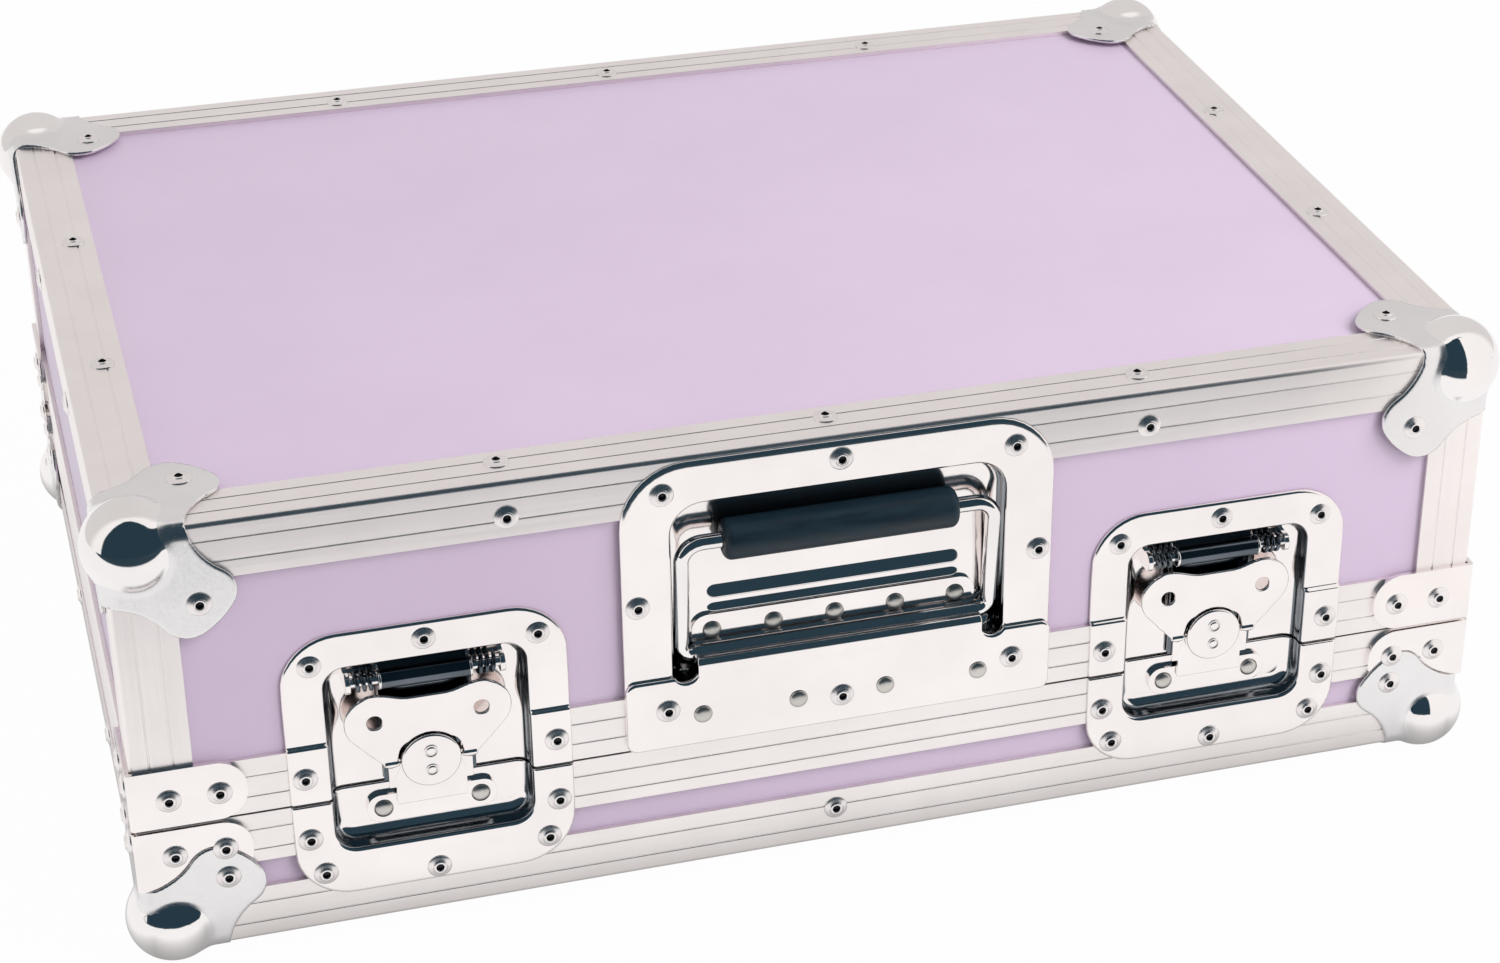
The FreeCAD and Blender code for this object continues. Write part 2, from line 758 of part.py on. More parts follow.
over = FreeCAD.Rotation(FreeCAD.Vector(1, 0, 0), 2 * QUARTER)
ball = ball_shape()
grown_ball = ball_shape(s.brace_lobe_gap.number)
group([ball_corner(ball, x, y, case_high, yaw(steps + 2)) for x, y, steps in CORNERS], "lid_ball_corners")
group([ball_corner(ball, x, y, case_low, yaw(steps - 1) * over) for x, y, steps in CORNERS],
      "base_ball_corners")


def brace(label, low, high, tab):
    """An angle plate round a case corner, with arms along +X and +Y from the corner edge."""
    body = new_body(label)
    for role, inward in (("XZ_Plane", False), ("YZ_Plane", True)):
        drawing = sketch_on(body, role)
        draw_rounded(drawing, (-s.brace_plate, s.brace_arm), (low, high),
                     (None, s.brace_end_radius, s.brace_end_radius, None))
        pad(body, drawing, s.brace_plate, inward=inward)
        if tab:
            drawing = sketch_on(body, role)
            right = s.brace_tab_width
            draw_polygon(drawing, [(-s.brace_plate, -s.brace_tab_drop), (right, -s.brace_tab_drop),
                                   (right, high), (-s.brace_plate, high)])
            pad(body, drawing, s.brace_plate, inward=inward)
    outer = -s.brace_plate
    round_edges(body, s.brace_corner_radius, lambda middle: near(middle.x, outer) and near(middle.y, outer))
    return body


lid_braces, base_braces = [], []
for x, y, steps in CORNERS:
    low = s.brace_seam_gap
    lid_braces.append(place(brace("lid_brace", low, low + s.brace_height, False), x, y, seam, yaw(steps)))
    plate = place(brace("base_brace", -low - s.brace_height, -low, True), x, y, seam, yaw(steps))
    base_braces.append(cut(plate, ball_corner(grown_ball, x, y, case_low, yaw(steps - 1) * over)))
group(lid_braces, "lid_braces")
group(base_braces, "base_braces")

# handle, in a frame at the seam on the front plane, with depth against the outward normal
handle_floor = s.handle_sheet - s.handle_recess_depth
pivot_out = handle_floor + s.barrel_floor_gap + s.barrel_radius
grip_out = handle_floor + s.grip_floor_gap + s.grip_radius
bail_tilt = math.degrees(math.asin((grip_out.number - pivot_out.number) / s.bail_arm.number))
barrel_length = s.bail_span - s.bail_foot_bend * 2 - s.barrel_end_gap * 2
handle_half = s.case_width * HANDLE_WIDTH_SHARE / 2


def at_handle(body):
    return place(body, s.handle_offset, -half_depth, seam)


def rounded_pad(body, x_half, z_range, radii, lift, thick):
    """A plate parallel to the front, as wide to the left as to the right."""
    drawing = sketch_on(body, "XZ_Plane", lift)
    draw_rounded(drawing, (-x_half, x_half), z_range, radii)
    return pad(body, drawing, thick)


dish = new_body("handle_dish")
foot, crown = s.handle_foot_radius, s.handle_top_radius
rounded_pad(dish, handle_half, (s.seam_gap / 2, s.handle_height), (foot, foot, crown, crown), 0, s.handle_sheet)
rounded_pad(dish, handle_tub_half, (s.handle_recess_low - s.handle_sheet, s.handle_recess_high + s.handle_sheet),
            recess_radii(s.handle_sheet), handle_floor - s.handle_sheet, s.handle_recess_depth + s.handle_sheet)
drawing = sketch_on(dish, "XZ_Plane", s.handle_sheet)
recess_half = s.handle_recess_width / 2
draw_rounded(drawing, (-recess_half, recess_half), (s.handle_recess_low, s.handle_recess_high), recess_radii(0))
pocket(dish, drawing, s.handle_recess_depth)
for step in (0, 1):
    middle = s.handle_rib_low + s.handle_rib_step * step
    half = s.handle_rib_width / 2
    rounded_pad(dish, s.handle_rib_length / 2, (middle - half, middle + half), (half * SOFT_CORNER_SHARE,) * 4,
                handle_floor, s.handle_rib_height)
node(at_handle(dish), "handle_dish")

strap = new_body("handle_strap")
rounded_pad(strap, handle_half, (s.seam_gap / 2, s.strap_height), (foot,) * 4, s.handle_sheet, s.strap_thick)
strap_front = -s.handle_sheet - s.strap_thick
drawing = sketch_on(strap, "YZ_Plane")
draw_rounded(drawing, (strap_front, strap_front + s.strap_lip_depth),
             (s.strap_height, s.strap_lip_high), (None, None, None, s.strap_lip_radius))
pad(strap, drawing, s.strap_lip_width, both_ways=True)
drawing = sketch_on(strap, "YZ_Plane")
draw_rounded(drawing, (strap_front + s.strap_lip_thick, strap_front + s.strap_lip_depth + s.overrun),
             (s.strap_height, s.strap_lip_high - s.strap_lip_thick),
             (None, None, None, s.strap_lip_radius - s.strap_lip_thick))
pocket(strap, drawing)
drawing = sketch_on(strap, "XZ_Plane")
for way in (-1, 1):
    draw_circle(drawing, s.bail_span / 2 * way, s.strap_height, s.strap_notch)
pocket(strap, drawing)
node(at_handle(strap), "handle_strap")

hinge_plate = new_body("handle_hinge_plate")
corner = s.hinge_plate_radius
rounded_pad(hinge_plate, barrel_length / 2, (s.pivot_rise, s.pivot_rise + s.hinge_plate_height),
            (None, None, corner, corner), handle_floor, s.hinge_plate_thick)
drawing = sketch_on(hinge_plate, "YZ_Plane")
draw_circle(drawing, -pivot_out, s.pivot_rise, s.barrel_radius)
pad(hinge_plate, drawing, barrel_length, both_ways=True)
drawing = sketch_on(hinge_plate, "YZ_Plane")
draw_circle(drawing, -pivot_out, s.pivot_rise, s.bail_rod / 2 + s.bail_fit)
pocket(hinge_plate, drawing)
node(at_handle(hinge_plate), "handle_hinge_plate")


def at_pivot(body):
    tilt = FreeCAD.Rotation(FreeCAD.Vector(1, 0, 0), bail_tilt)
    return place(body, s.handle_offset, -half_depth - pivot_out, seam + s.pivot_rise, tilt)


bail = new_body("handle_bail")
spine = sketch_on(bail, "XZ_Plane")
bends = s.bail_foot_bend, s.bail_foot_bend, s.bail_bend, s.bail_bend
draw_rounded(spine, (-s.bail_span / 2, s.bail_span / 2), (0, s.bail_arm), bends, gap=(-s.bail_tuck, s.bail_tuck))
section = sketch_on(bail, "YZ_Plane", -s.bail_tuck)
draw_circle(section, 0, 0, s.bail_rod / 2)
pipe = bail.newObject("PartDesign::AdditivePipe", "bent_rod")
pipe.Profile = section
pipe.Spine = spine
node(at_pivot(bail), "handle_bail")

grip = new_body("handle_grip")
drawing = sketch_on(grip, "XZ_Plane")
bore = s.bail_rod / 2 + s.bail_fit
grip_half = s.grip_length / 2
draw_rounded(drawing, (-grip_half, grip_half), (s.bail_arm + bore, s.bail_arm + s.grip_radius),
             (None, None, s.grip_round, s.grip_round))
sleeve = grip.newObject("PartDesign::Revolution", "sleeve")
sleeve.Profile = drawing
axis_line = sketch_on(grip, "XZ_Plane")
line = axis_line.addGeometry(Part.LineSegment(flat(-grip_half, s.bail_arm), flat(grip_half, s.bail_arm)), False)
fix_point(axis_line, line, 1, -grip_half, s.bail_arm)
fix_point(axis_line, line, 2, grip_half, s.bail_arm)
sleeve.ReferenceAxis = (axis_line, ["Edge1"])
sleeve.Angle = 4 * QUARTER
node(at_pivot(grip), "handle_grip")

# latches, in a frame at the seam on the front plane
latch_floor = s.latch_sheet - s.latch_recess_depth
latch_half = s.case_width * LATCH_WIDTH_SHARE / 2
latch_joggle = s.lid_rim_height + s.latch_joggle_gap
cam_offset = s.hook_travel / 2
pin_half = s.lug_inset + s.lug_thick
hub_thick = s.hub_seat_depth - s.hub_face_depth
knuckle_start = s.hub_radius + s.wing_hub_clear
spring_radius = s.latch_pin_radius + s.spring_pin_gap + s.spring_wire / 2


def circle_pad(body, x, z, radius, lift, thick):
    drawing = sketch_on(body, "XZ_Plane", lift)
    draw_circle(drawing, x, z, radius)
    return pad(body, drawing, thick)


def cross_pad(body, depth, z, radius, start, length):
    """A round bar along X from a start, to the right or, with a negative start, to the left."""
    drawing = sketch_on(body, "YZ_Plane", start)
    draw_circle(drawing, depth, z, radius)
    return pad(body, drawing, length, inward=as_size(start).number < 0)


def latch_upper_dish(label):
    body = new_body(label)
    corner = s.latch_corner_radius
    low = s.seam_gap / 2
    step_top = latch_joggle + s.latch_sheet
    rounded_pad(body, latch_half, (low, step_top), (None,) * 4, 0, s.latch_sheet)
    rounded_pad(body, latch_half, (latch_joggle, step_top), (None,) * 4, -s.edge_wall,
                s.edge_wall + s.latch_sheet)
    rounded_pad(body, latch_half, (latch_joggle, s.latch_rise), (None, None, corner, corner), -s.edge_wall,
                s.latch_sheet)
    back = latch_floor - s.latch_sheet
    outer = s.latch_recess_radius + s.latch_sheet
    rounded_pad(body, latch_tub_half, (low, s.latch_recess_rise + s.latch_sheet), (None, None, outer, outer),
                back, -s.edge_wall + s.latch_sheet - back)
    rounded_pad(body, latch_tub_half, (low, step_top), (None,) * 4, back, s.latch_sheet - back)
    drawing = sketch_on(body, "XZ_Plane", s.latch_sheet)
    half = s.latch_recess_width / 2
    draw_rounded(drawing, (-half, half), (-s.overrun, s.latch_recess_rise),
                 (None, None, s.latch_recess_radius, s.latch_recess_radius))
    pocket(body, drawing, s.latch_recess_depth)
    for way in (-1, 1):
        drawing = sketch_on(body, "YZ_Plane", s.lug_inset * way)
        draw_rounded(drawing, (s.latch_pin_depth - s.lug_radius, -latch_floor + s.latch_sheet / 2),
                     (s.latch_pin_rise - s.lug_radius, s.latch_pin_rise + s.lug_radius),
                     (s.lug_radius * SOFT_CORNER_SHARE, None, None, s.lug_radius * SOFT_CORNER_SHARE))
        pad(body, drawing, s.lug_thick, inward=way < 0)
    reach = pin_half + s.overrun
    drawing = sketch_on(body, "YZ_Plane", reach)
    draw_circle(drawing, s.latch_pin_depth, s.latch_pin_rise, s.latch_pin_radius + s.latch_fit)
    pocket(body, drawing, reach * 2)
    return body


def latch_lower_dish(label):
    body = new_body(label)
    corner = s.latch_corner_radius
    high = -s.seam_gap / 2
    back = latch_floor - s.latch_sheet
    outer = s.latch_recess_radius + s.latch_sheet
    rounded_pad(body, latch_half, (-s.latch_drop, high), (corner, corner, None, None), 0, s.latch_sheet)
    rounded_pad(body, latch_tub_half, (-s.latch_recess_drop - s.latch_sheet, high), (outer, outer, None, None),
                back, s.latch_sheet - back)
    drawing = sketch_on(body, "XZ_Plane", s.latch_sheet)
    half = s.latch_recess_width / 2
    draw_rounded(drawing, (-half, half), (-s.latch_recess_drop, s.overrun),
                 (s.latch_recess_radius, s.latch_recess_radius, None, None))
    pocket(body, drawing, s.latch_recess_depth)
    return body


def latch_carrier(label):
    """Plate that swings on the pin by a rolled barrel and carries rotor and hook."""
    body = new_body(label)
    half = s.carrier_width / 2
    rounded_pad(body, half, (s.carrier_foot, s.latch_pin_rise), (None,) * 4, -s.carrier_depth, s.carrier_plate)
    drawing = sketch_on(body, "YZ_Plane")
    draw_circle(drawing, s.latch_pin_depth, s.latch_pin_rise, s.carrier_barrel_radius)
    pad(body, drawing, s.carrier_width, both_ways=True)
    drawing = sketch_on(body, "YZ_Plane")
    draw_circle(drawing, s.latch_pin_depth, s.latch_pin_rise, s.latch_pin_radius + s.latch_fit)
    pocket(body, drawing)
    drawing = sketch_on(body, "XZ_Plane")
    draw_circle(drawing, 0, s.hub_rise, s.shaft_radius + s.latch_fit)
    pocket(body, drawing)
    return body


def latch_hook(label):
    """Plate that the rotor's eccentric moves up and down, with a narrow toe in front of the keeper."""
    body = new_body(label)
    half, toe = s.hook_width / 2, s.hook_toe_width / 2
    drawing = sketch_on(body, "XZ_Plane", -s.hook_depth)
    draw_polygon(drawing, [
        (-toe, s.hook_foot),
        (toe, s.hook_foot),
        (toe, s.hook_shoulder),
        (half, s.hook_shoulder),
        (half, s.hook_top),
        (-half, s.hook_top),
        (-half, s.hook_shoulder),
        (-toe, s.hook_shoulder),
    ])
    pad(body, drawing, s.hook_plate)
    drawing = sketch_on(body, "XZ_Plane")
    slot_half = s.cam_radius + cam_offset + s.hook_cam_clear
    slot_middle = s.hub_rise + cam_offset
    slot_rise = s.cam_radius + s.hook_cam_clear
    draw_rounded(drawing, (-slot_half, slot_half), (slot_middle - slot_rise, slot_middle + slot_rise),
                 (s.cam_radius,) * 4)
    pocket(body, drawing)
    return body


def latch_rotor(label):
    """Hub disc with the eccentric behind it, the shaft in the carrier and the two stubs of the wing."""
    body = new_body(label)
    circle_pad(body, 0, s.hub_rise, s.hub_radius, -s.hub_seat_depth, hub_thick)
    face = s.hub_face_depth
    round_edges(body, s.hub_edge, lambda middle: near(middle.y, face))
    circle_pad(body, 0, s.hub_rise + cam_offset, s.cam_radius, -s.hook_depth, s.hook_depth - s.hub_seat_depth)
    circle_pad(body, 0, s.hub_rise, s.shaft_radius, -s.carrier_depth, s.carrier_depth - s.hook_depth)
    drawing = sketch_on(body, "YZ_Plane")
    draw_circle(drawing, s.wing_axis_depth, s.hub_rise, s.wing_pin_radius)
    pad(body, drawing, s.wing_neck_width, both_ways=True)
    return body


def latch_wing(label):
    """Folding wing: neck with a bay round the hub, two finger lobes with holes, knuckles on the stubs."""
    body = new_body(label)
    back = -s.wing_axis_depth - s.wing_plate / 2
    neck = s.wing_neck_width / 2
    lobe_rise = s.hub_rise + s.wing_lobe_rise
    flank = s.wing_lobe_offset + s.wing_lobe_radius * WING_FLANK_SHARES[0]
    flank_rise = lobe_rise - s.wing_lobe_radius * WING_FLANK_SHARES[1]
    right = [
        (neck, s.hub_rise),
        (flank, flank_rise),
        (s.wing_lobe_offset, s.hub_rise + s.wing_bridge_rise),
    ]
    left = [(-x, z) for x, z in reversed(right)]
    drawing = sketch_on(body, "XZ_Plane", back)
    draw_polygon(drawing, right + left)
    pad(body, drawing, s.wing_plate)
    for way in (-1, 1):
        circle_pad(body, s.wing_lobe_offset * way, lobe_rise, s.wing_lobe_radius, back, s.wing_plate)
    drawing = sketch_on(body, "XZ_Plane")
    draw_circle(drawing, 0, s.hub_rise, knuckle_start)
    pocket(body, drawing)
    drawing = sketch_on(body, "XZ_Plane")
    for way in (-1, 1):
        draw_circle(drawing, s.wing_lobe_offset * way, lobe_rise, s.wing_hole_radius)
    pocket(body, drawing)
    for way in (-1, 1):
        cross_pad(body, s.wing_axis_depth, s.hub_rise, s.wing_knuckle_radius, knuckle_start * way,
                  neck - knuckle_start)
    drawing = sketch_on(body, "YZ_Plane")
    draw_circle(drawing, s.wing_axis_depth, s.hub_rise, s.wing_pin_radius + s.latch_fit)
    pocket(body, drawing)
    return body


def biarc(start, start_way, end, end_way):
    """Two arcs that leave a start and reach an end along given unit directions, tangent where they meet."""
    chord = end - start
    ways = start_way + end_way
    lead = chord.dot(ways)
    spread = 2 * (1 - start_way.dot(end_way))
    reach = (-lead + math.sqrt(lead * lead + spread * chord.dot(chord))) / spread
    first = start + start_way * reach
    second = end - end_way * reach
    joint = (first + second) * 0.5
    arcs = []
    for tail, knee, head in ((start, first, joint), (joint, second, end)):
        bisector = ((tail - knee).normalize() + (head - knee).normalize()).normalize()
        half_angle = (tail - knee).getAngle(head - knee) / 2
        radius = reach * math.tan(half_angle)
        crown = knee + bisector * (math.hypot(reach, radius) - radius)
        arcs.append(Part.Arc(tail, crown, head))
    return arcs


def coil(start_x, way):
    """One torsion spring round the latch pin: a wire wound along X, with straight tails square to the axis."""
    radius, pitch, wire = spring_radius.number, s.spring_pitch.number, s.spring_wire.number
    depth, rise = s.latch_pin_depth.number, s.latch_pin_rise.number
    lead = pitch / (2 * math.pi)
    slope = math.hypot(radius, lead)

    def spot(angle):
        along = start_x.number + way * lead * angle
        return FreeCAD.Vector(along, depth + radius * math.sin(angle), rise + radius * math.cos(angle))

    def heading(angle):
        return FreeCAD.Vector(way * lead, radius * math.cos(angle), -radius * math.sin(angle)) / slope

    quarters = 4 * SPRING_TURNS
    angles = [index * math.pi / 2 for index in range(quarters + 1)]
    edges = [Part.LineSegment(spot(0) - heading(0) * wire, spot(0)).toShape()]
    for tail, head in zip(angles, angles[1:]):
        for arc in biarc(spot(tail), heading(tail), spot(head), heading(head)):
            edges.append(arc.toShape())
    last = angles[-1]
    edges.append(Part.LineSegment(spot(last), spot(last) + heading(last) * wire).toShape())
    path = Part.Wire(edges)
    ring = Part.Wire(Part.Circle(spot(0) - heading(0) * wire, heading(0), wire / 2).toShape())
    tube = path.makePipeShell([ring], True, False)
    expected = math.pi * wire * wire / 4 * path.Length
    if not math.isclose(tube.Volume, expected, rel_tol=VOLUME_SHARE):
        raise RuntimeError("a spring's volume departs from its wire's length")
    step = 2 * math.pi / SPRING_POINTS
    return tube, least_gap([spot(index * step) for index in range(SPRING_POINTS * SPRING_TURNS + 1)], wire)


def least_gap(points, wire):
    """Least clear distance between neighbouring turns, measured between points over half a turn apart."""
    gaps = []
    for index, point in enumerate(points):
        for other in points[index + SPRING_POINTS // 2:]:
            gaps.append(point.distanceToPoint(other) - wire)
    return min(gaps)


pins, springs, keepers = [], [], []
for name, way in (("left", -1), ("right", 1)):
    def at_latch(body):
        return place(body, latch_offset * way, -half_depth, seam)

    for piece, build in (
        ("upper_dish", latch_upper_dish),
        ("lower_dish", latch_lower_dish),
        ("carrier", latch_carrier),
        ("hook", latch_hook),
        ("rotor", latch_rotor),
        ("wing", latch_wing),
    ):
        label = f"latch_{name}_{piece}"
        node(at_latch(build(label)), label)
    keeper = new_body(f"latch_{name}_keeper")
    rounded_pad(keeper, s.keeper_width / 2, (s.keeper_foot, s.keeper_top), (s.keeper_end_radius,) * 4,
                latch_floor, s.keeper_thick)
    keepers.append(at_latch(keeper))
    pins.append(rod(s.latch_pin_radius, pin_half * 2, latch_offset * way - pin_half,
                    -half_depth + s.latch_pin_depth, seam + s.latch_pin_rise, FACE_NORMALS["right"]))
    for side in (-1, 1):
        start = s.carrier_width / 2 + s.spring_side_gap + s.spring_wire / 2
        tube, gap = coil(start * side, side)
        print(f"spring of the {name} latch: least gap between turns {gap:.2f} mm")
        spring = doc.addObject("Part::Feature", "spring")
        spring.Shape = tube
        springs.append(at_latch(spring))
group(pins, "latch_pins")
group(springs, "latch_springs")
group(keepers, "latch_keepers")

# back hinges, in a frame at the seam on the back plane that looks outward from the case
hinge_half = s.hinge_width / 2
middle_half = s.hinge_middle_width / 2
notch_half = middle_half + s.hinge_knuckle_gap
notch_rise = s.hinge_knuckle_radius + s.hinge_notch_gap
bar = s.hinge_leaf_radius


def hinge_leaf(label, of_lid):
    body = new_body(label)
    if of_lid:
        rounded_pad(body, hinge_half, (s.hinge_notch_gap, s.hinge_leaf_height), (None, None, bar, bar), 0,
                    s.hinge_leaf)
        notches = ((-notch_half, notch_half),)
        edge = notch_rise
    else:
        rounded_pad(body, hinge_half, (-s.hinge_leaf_height, -s.hinge_notch_gap), (bar, bar, None, None), 0,
                    s.hinge_leaf)
        notches = ((-hinge_half - s.overrun, -middle_half), (middle_half, hinge_half + s.overrun))
        edge = -notch_rise
    drawing = sketch_on(body, "XZ_Plane", s.hinge_leaf)
    for left, right in notches:
        low, high = (0, edge) if of_lid else (edge, 0)
        draw_polygon(drawing, [(left, low), (right, low), (right, high), (left, high)])
    pocket(body, drawing)
    if of_lid:
        for side in (-1, 1):
            cross_pad(body, -s.hinge_axis_out, 0, s.hinge_knuckle_radius, notch_half * side,
                      hinge_half - notch_half)
    else:
        drawing = sketch_on(body, "YZ_Plane")
        draw_circle(drawing, -s.hinge_axis_out, 0, s.hinge_knuckle_radius)
        pad(body, drawing, s.hinge_middle_width, both_ways=True)
    drawing = sketch_on(body, "YZ_Plane")
    draw_circle(drawing, -s.hinge_axis_out, 0, s.hinge_pin_radius + s.hinge_fit)
    pocket(body, drawing)
    return body


lid_leaves, base_leaves, hinge_pins = [], [], []
for side in (-1, 1):
    x = hinge_offset * side
    lid_leaves.append(place(hinge_leaf("lid_leaf", True), x, half_depth, seam, yaw(2)))
    base_leaves.append(place(hinge_leaf("base_leaf", False), x, half_depth, seam, yaw(2)))
    hinge_pins.append(rod(s.hinge_pin_radius, s.hinge_width, x - hinge_half, half_depth + s.hinge_axis_out, seam,
                          FACE_NORMALS["right"]))
group(lid_leaves, "hinge_lid_leaves")
group(base_leaves, "hinge_base_leaves")
group(hinge_pins, "hinge_pins")


def rivet(face, along, across, lift, solid=False):
    """A rivet head on one face of the case, seated a lift above that face's outer plane."""
    spots = {
        "front": (along, -half_depth - lift, across),
        "back": (along, half_depth + lift, across),
        "left": (-half_width - lift, along, across),
        "right": (half_width + lift, along, across),
        "top": (along, across, case_high + lift),
        "bottom": (along, across, case_low - lift),
    }
    item = doc.addObject("Part::Cone", "rivet")
    bind(item, "Radius1", s.solid_radius if solid else s.pop_radius)
    bind(item, "Radius2", s.solid_crown if solid else s.pop_crown)
    bind(item, "Height", s.solid_height if solid else s.pop_height)
    return place(item, *spots[face], FreeCAD.Rotation(UP, FACE_NORMALS[face]))


lid_rivets, base_rivets = [], []
inset = s.edge_rivet_inset
for rivets, face, level, turn in ((lid_rivets, "top", case_high, -1), (base_rivets, "bottom", case_low, 1)):
    flange = level + inset * turn
    for share in WIDTH_RIVET_SHARES:
        x = s.case_width * share
        for y in (-half_depth + inset, half_depth - inset):
            rivets.append(rivet(face, x, y, 0))
        rivets.append(rivet("back", x, flange, 0))
        if (share == 0) == (rivets is base_rivets):
            rivets.append(rivet("front", x, flange, 0))
    for share in DEPTH_RIVET_SHARES:
        y = s.case_depth * share
        for x in (-half_width + inset, half_width - inset):
            rivets.append(rivet(face, x, y, 0))
        for side in ("left", "right"):
            rivets.append(rivet(side, y, flange, 0))
    spot = s.lobe_rivet_inset
    across = level + spot * turn
    for way in (-1, 1):
        for x in (-half_width + spot, half_width - spot):
            rivets.append(rivet(face, x, (half_depth - spot) * way, s.lobe_plate))
            rivets.append(rivet("back" if way > 0 else "front", x, across, s.lobe_plate))
        rivets.append(rivet("left", (half_depth - spot) * way, across, s.lobe_plate))
        rivets.append(rivet("right", (half_depth - spot) * way, across, s.lobe_plate))
for rivets, rise in ((lid_rivets, s.brace_rivet_rise), (base_rivets, -s.brace_rivet_rise)):
    for run in (s.brace_rivet_first, s.brace_rivet_second):
        for way in (-1, 1):
            for face in ("front", "back"):
                rivets.append(rivet(face, (half_width - run) * way, seam + rise, s.brace_plate))
            for face in ("left", "right"):
                rivets.append(rivet(face, (half_depth - run) * way, seam + rise, s.brace_plate))
for across_share, rise_share in HANDLE_RIVET_SHARES:
    x = s.handle_offset + handle_half * across_share
    lid_rivets.append(rivet("front", x, seam + s.handle_height * rise_share, s.handle_sheet))
strap_face = s.handle_sheet + s.strap_thick
for across_share, rise_share in STRAP_RIVET_SHARES:
    x = s.handle_offset + handle_half * across_share
    lid_rivets.append(rivet("front", x, seam + s.strap_height * rise_share, strap_face))
for across_share in STRAP_SOLID_SHARES:
    x = s.handle_offset + handle_half * across_share
    lid_rivets.append(rivet("front", x, seam + s.strap_height * STRAP_SOLID_RISE_SHARE, strap_face, solid=True))
for across_share in HINGE_PLATE_SHARES:
    x = s.handle_offset + barrel_length / 2 * across_share
    rise = seam + s.pivot_rise + s.hinge_rivet_rise
    lid_rivets.append(rivet("front", x, rise, handle_floor + s.hinge_plate_thick, solid=True))
for way in (-1, 1):
    middle = latch_offset * way
    for shares, lift in ((LATCH_UPPER_SHARES, s.latch_sheet - s.edge_wall), (LATCH_RIM_SHARES, s.latch_sheet)):
        for across_share, rise_share in shares:
            x = middle + latch_half * across_share
            lid_rivets.append(rivet("front", x, seam + s.latch_rise * rise_share, lift))
    for across_share, drop_share in LATCH_LOWER_SHARES:
        x = middle + latch_half * across_share
        base_rivets.append(rivet("front", x, seam - s.latch_drop * drop_share, s.latch_sheet))
    for side in (-1, 1):
        x = middle + s.keeper_rivet_offset * side
        rise = seam + (s.keeper_top + s.keeper_foot) / 2
        base_rivets.append(rivet("front", x, rise, latch_floor + s.keeper_thick, solid=True))
        x = hinge_offset * way + s.hinge_rivet_offset * side
        lid_rivets.append(rivet("back", x, seam + s.hinge_rivet_height, s.hinge_leaf))
        base_rivets.append(rivet("back", x, seam - s.hinge_rivet_height, s.hinge_leaf))
group(lid_rivets, "lid_rivets")
group(base_rivets, "base_rivets")

doc.recompute()
for item in doc.Objects:
    if "Invalid" in item.State or "Error" in item.State:
        raise RuntimeError(f"{item.Label} failed: {item.State}")
for item in nodes:
    if item.Shape.isNull() or not item.Shape.isValid() or not item.Shape.Solids:
        raise RuntimeError(f"{item.Label} has no valid solid")
os.makedirs("parts", exist_ok=True)
for item in nodes:
    item.Shape.exportStep(f"parts/{item.Label}.step")
print(f"{len(nodes)} pieces written")
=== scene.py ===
"""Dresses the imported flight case: materials, pressed sheet metal, rivets, grip and foam, light and camera."""
import math

import bpy
import numpy as np
from mathutils import Matrix, Vector


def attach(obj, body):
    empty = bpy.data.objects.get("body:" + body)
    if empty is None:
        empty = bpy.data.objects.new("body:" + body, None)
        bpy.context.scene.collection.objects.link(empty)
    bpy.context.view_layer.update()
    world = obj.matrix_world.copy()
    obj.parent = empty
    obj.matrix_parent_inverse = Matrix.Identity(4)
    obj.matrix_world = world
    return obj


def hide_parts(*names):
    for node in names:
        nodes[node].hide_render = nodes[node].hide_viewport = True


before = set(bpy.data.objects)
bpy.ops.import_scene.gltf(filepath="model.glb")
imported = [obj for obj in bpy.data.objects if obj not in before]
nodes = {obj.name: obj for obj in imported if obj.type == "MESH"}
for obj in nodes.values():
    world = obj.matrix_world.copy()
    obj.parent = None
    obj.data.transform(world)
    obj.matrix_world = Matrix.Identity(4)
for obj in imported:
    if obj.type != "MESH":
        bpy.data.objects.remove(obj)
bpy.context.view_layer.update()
MM = 0.001

# places of the case in millimetres, as in the part's source
HALF_WIDTH = 260.0
HALF_DEPTH = 186.5
CASE_LOW = 7.1
CASE_HIGH = 183.1
SEAM = 62.1
LATCH_X = 153.0
HANDLE_X = 1.5


# materials

# the part of a noise's range that it mostly stays in
NOISE_SPAN = (0.3, 0.7)
# how much longer than broad a brushed streak is, and the size per metre of clouds in a metal's colour
STREAK_STRETCH = 200
CLOUD_SCALE = 30.0
METAL_GRAIN = 0.0002
SOFT_GRAIN = 0.0001
FOAM_GRAIN = 0.0006
# no axis, fineness per metre and depth of the grain of metal that isn't brushed
PLAIN_GRAIN = (None, 900.0, 0.012)


def new_material(name):
    material = bpy.data.materials.new(name)
    material.use_nodes = True
    return material, material.node_tree, material.node_tree.nodes["Principled BSDF"]


def feed(tree, socket, value):
    """Sets an input, or links it where the value is another node's output socket."""
    if isinstance(value, bpy.types.NodeSocket):
        tree.links.new(value, socket)
    else:
        socket.default_value = value


def add(tree, kind, settings=None, **inputs):
    """A node with settings and inputs by name."""
    item = tree.nodes.new(kind)
    for key, value in (settings or {}).items():
        setattr(item, key, value)
    for key, value in inputs.items():
        feed(tree, item.inputs[key.replace("_", " ")], value)
    return item


def combine(tree, kind, operation, *values):
    """Result of a Math or VectorMath node on its inputs in order."""
    item = add(tree, kind, {"operation": operation})
    for socket, value in zip(item.inputs, values):
        feed(tree, socket, value)
    single = kind == "ShaderNodeMath" or operation == "DOT_PRODUCT"
    return item.outputs["Value" if single else "Vector"]


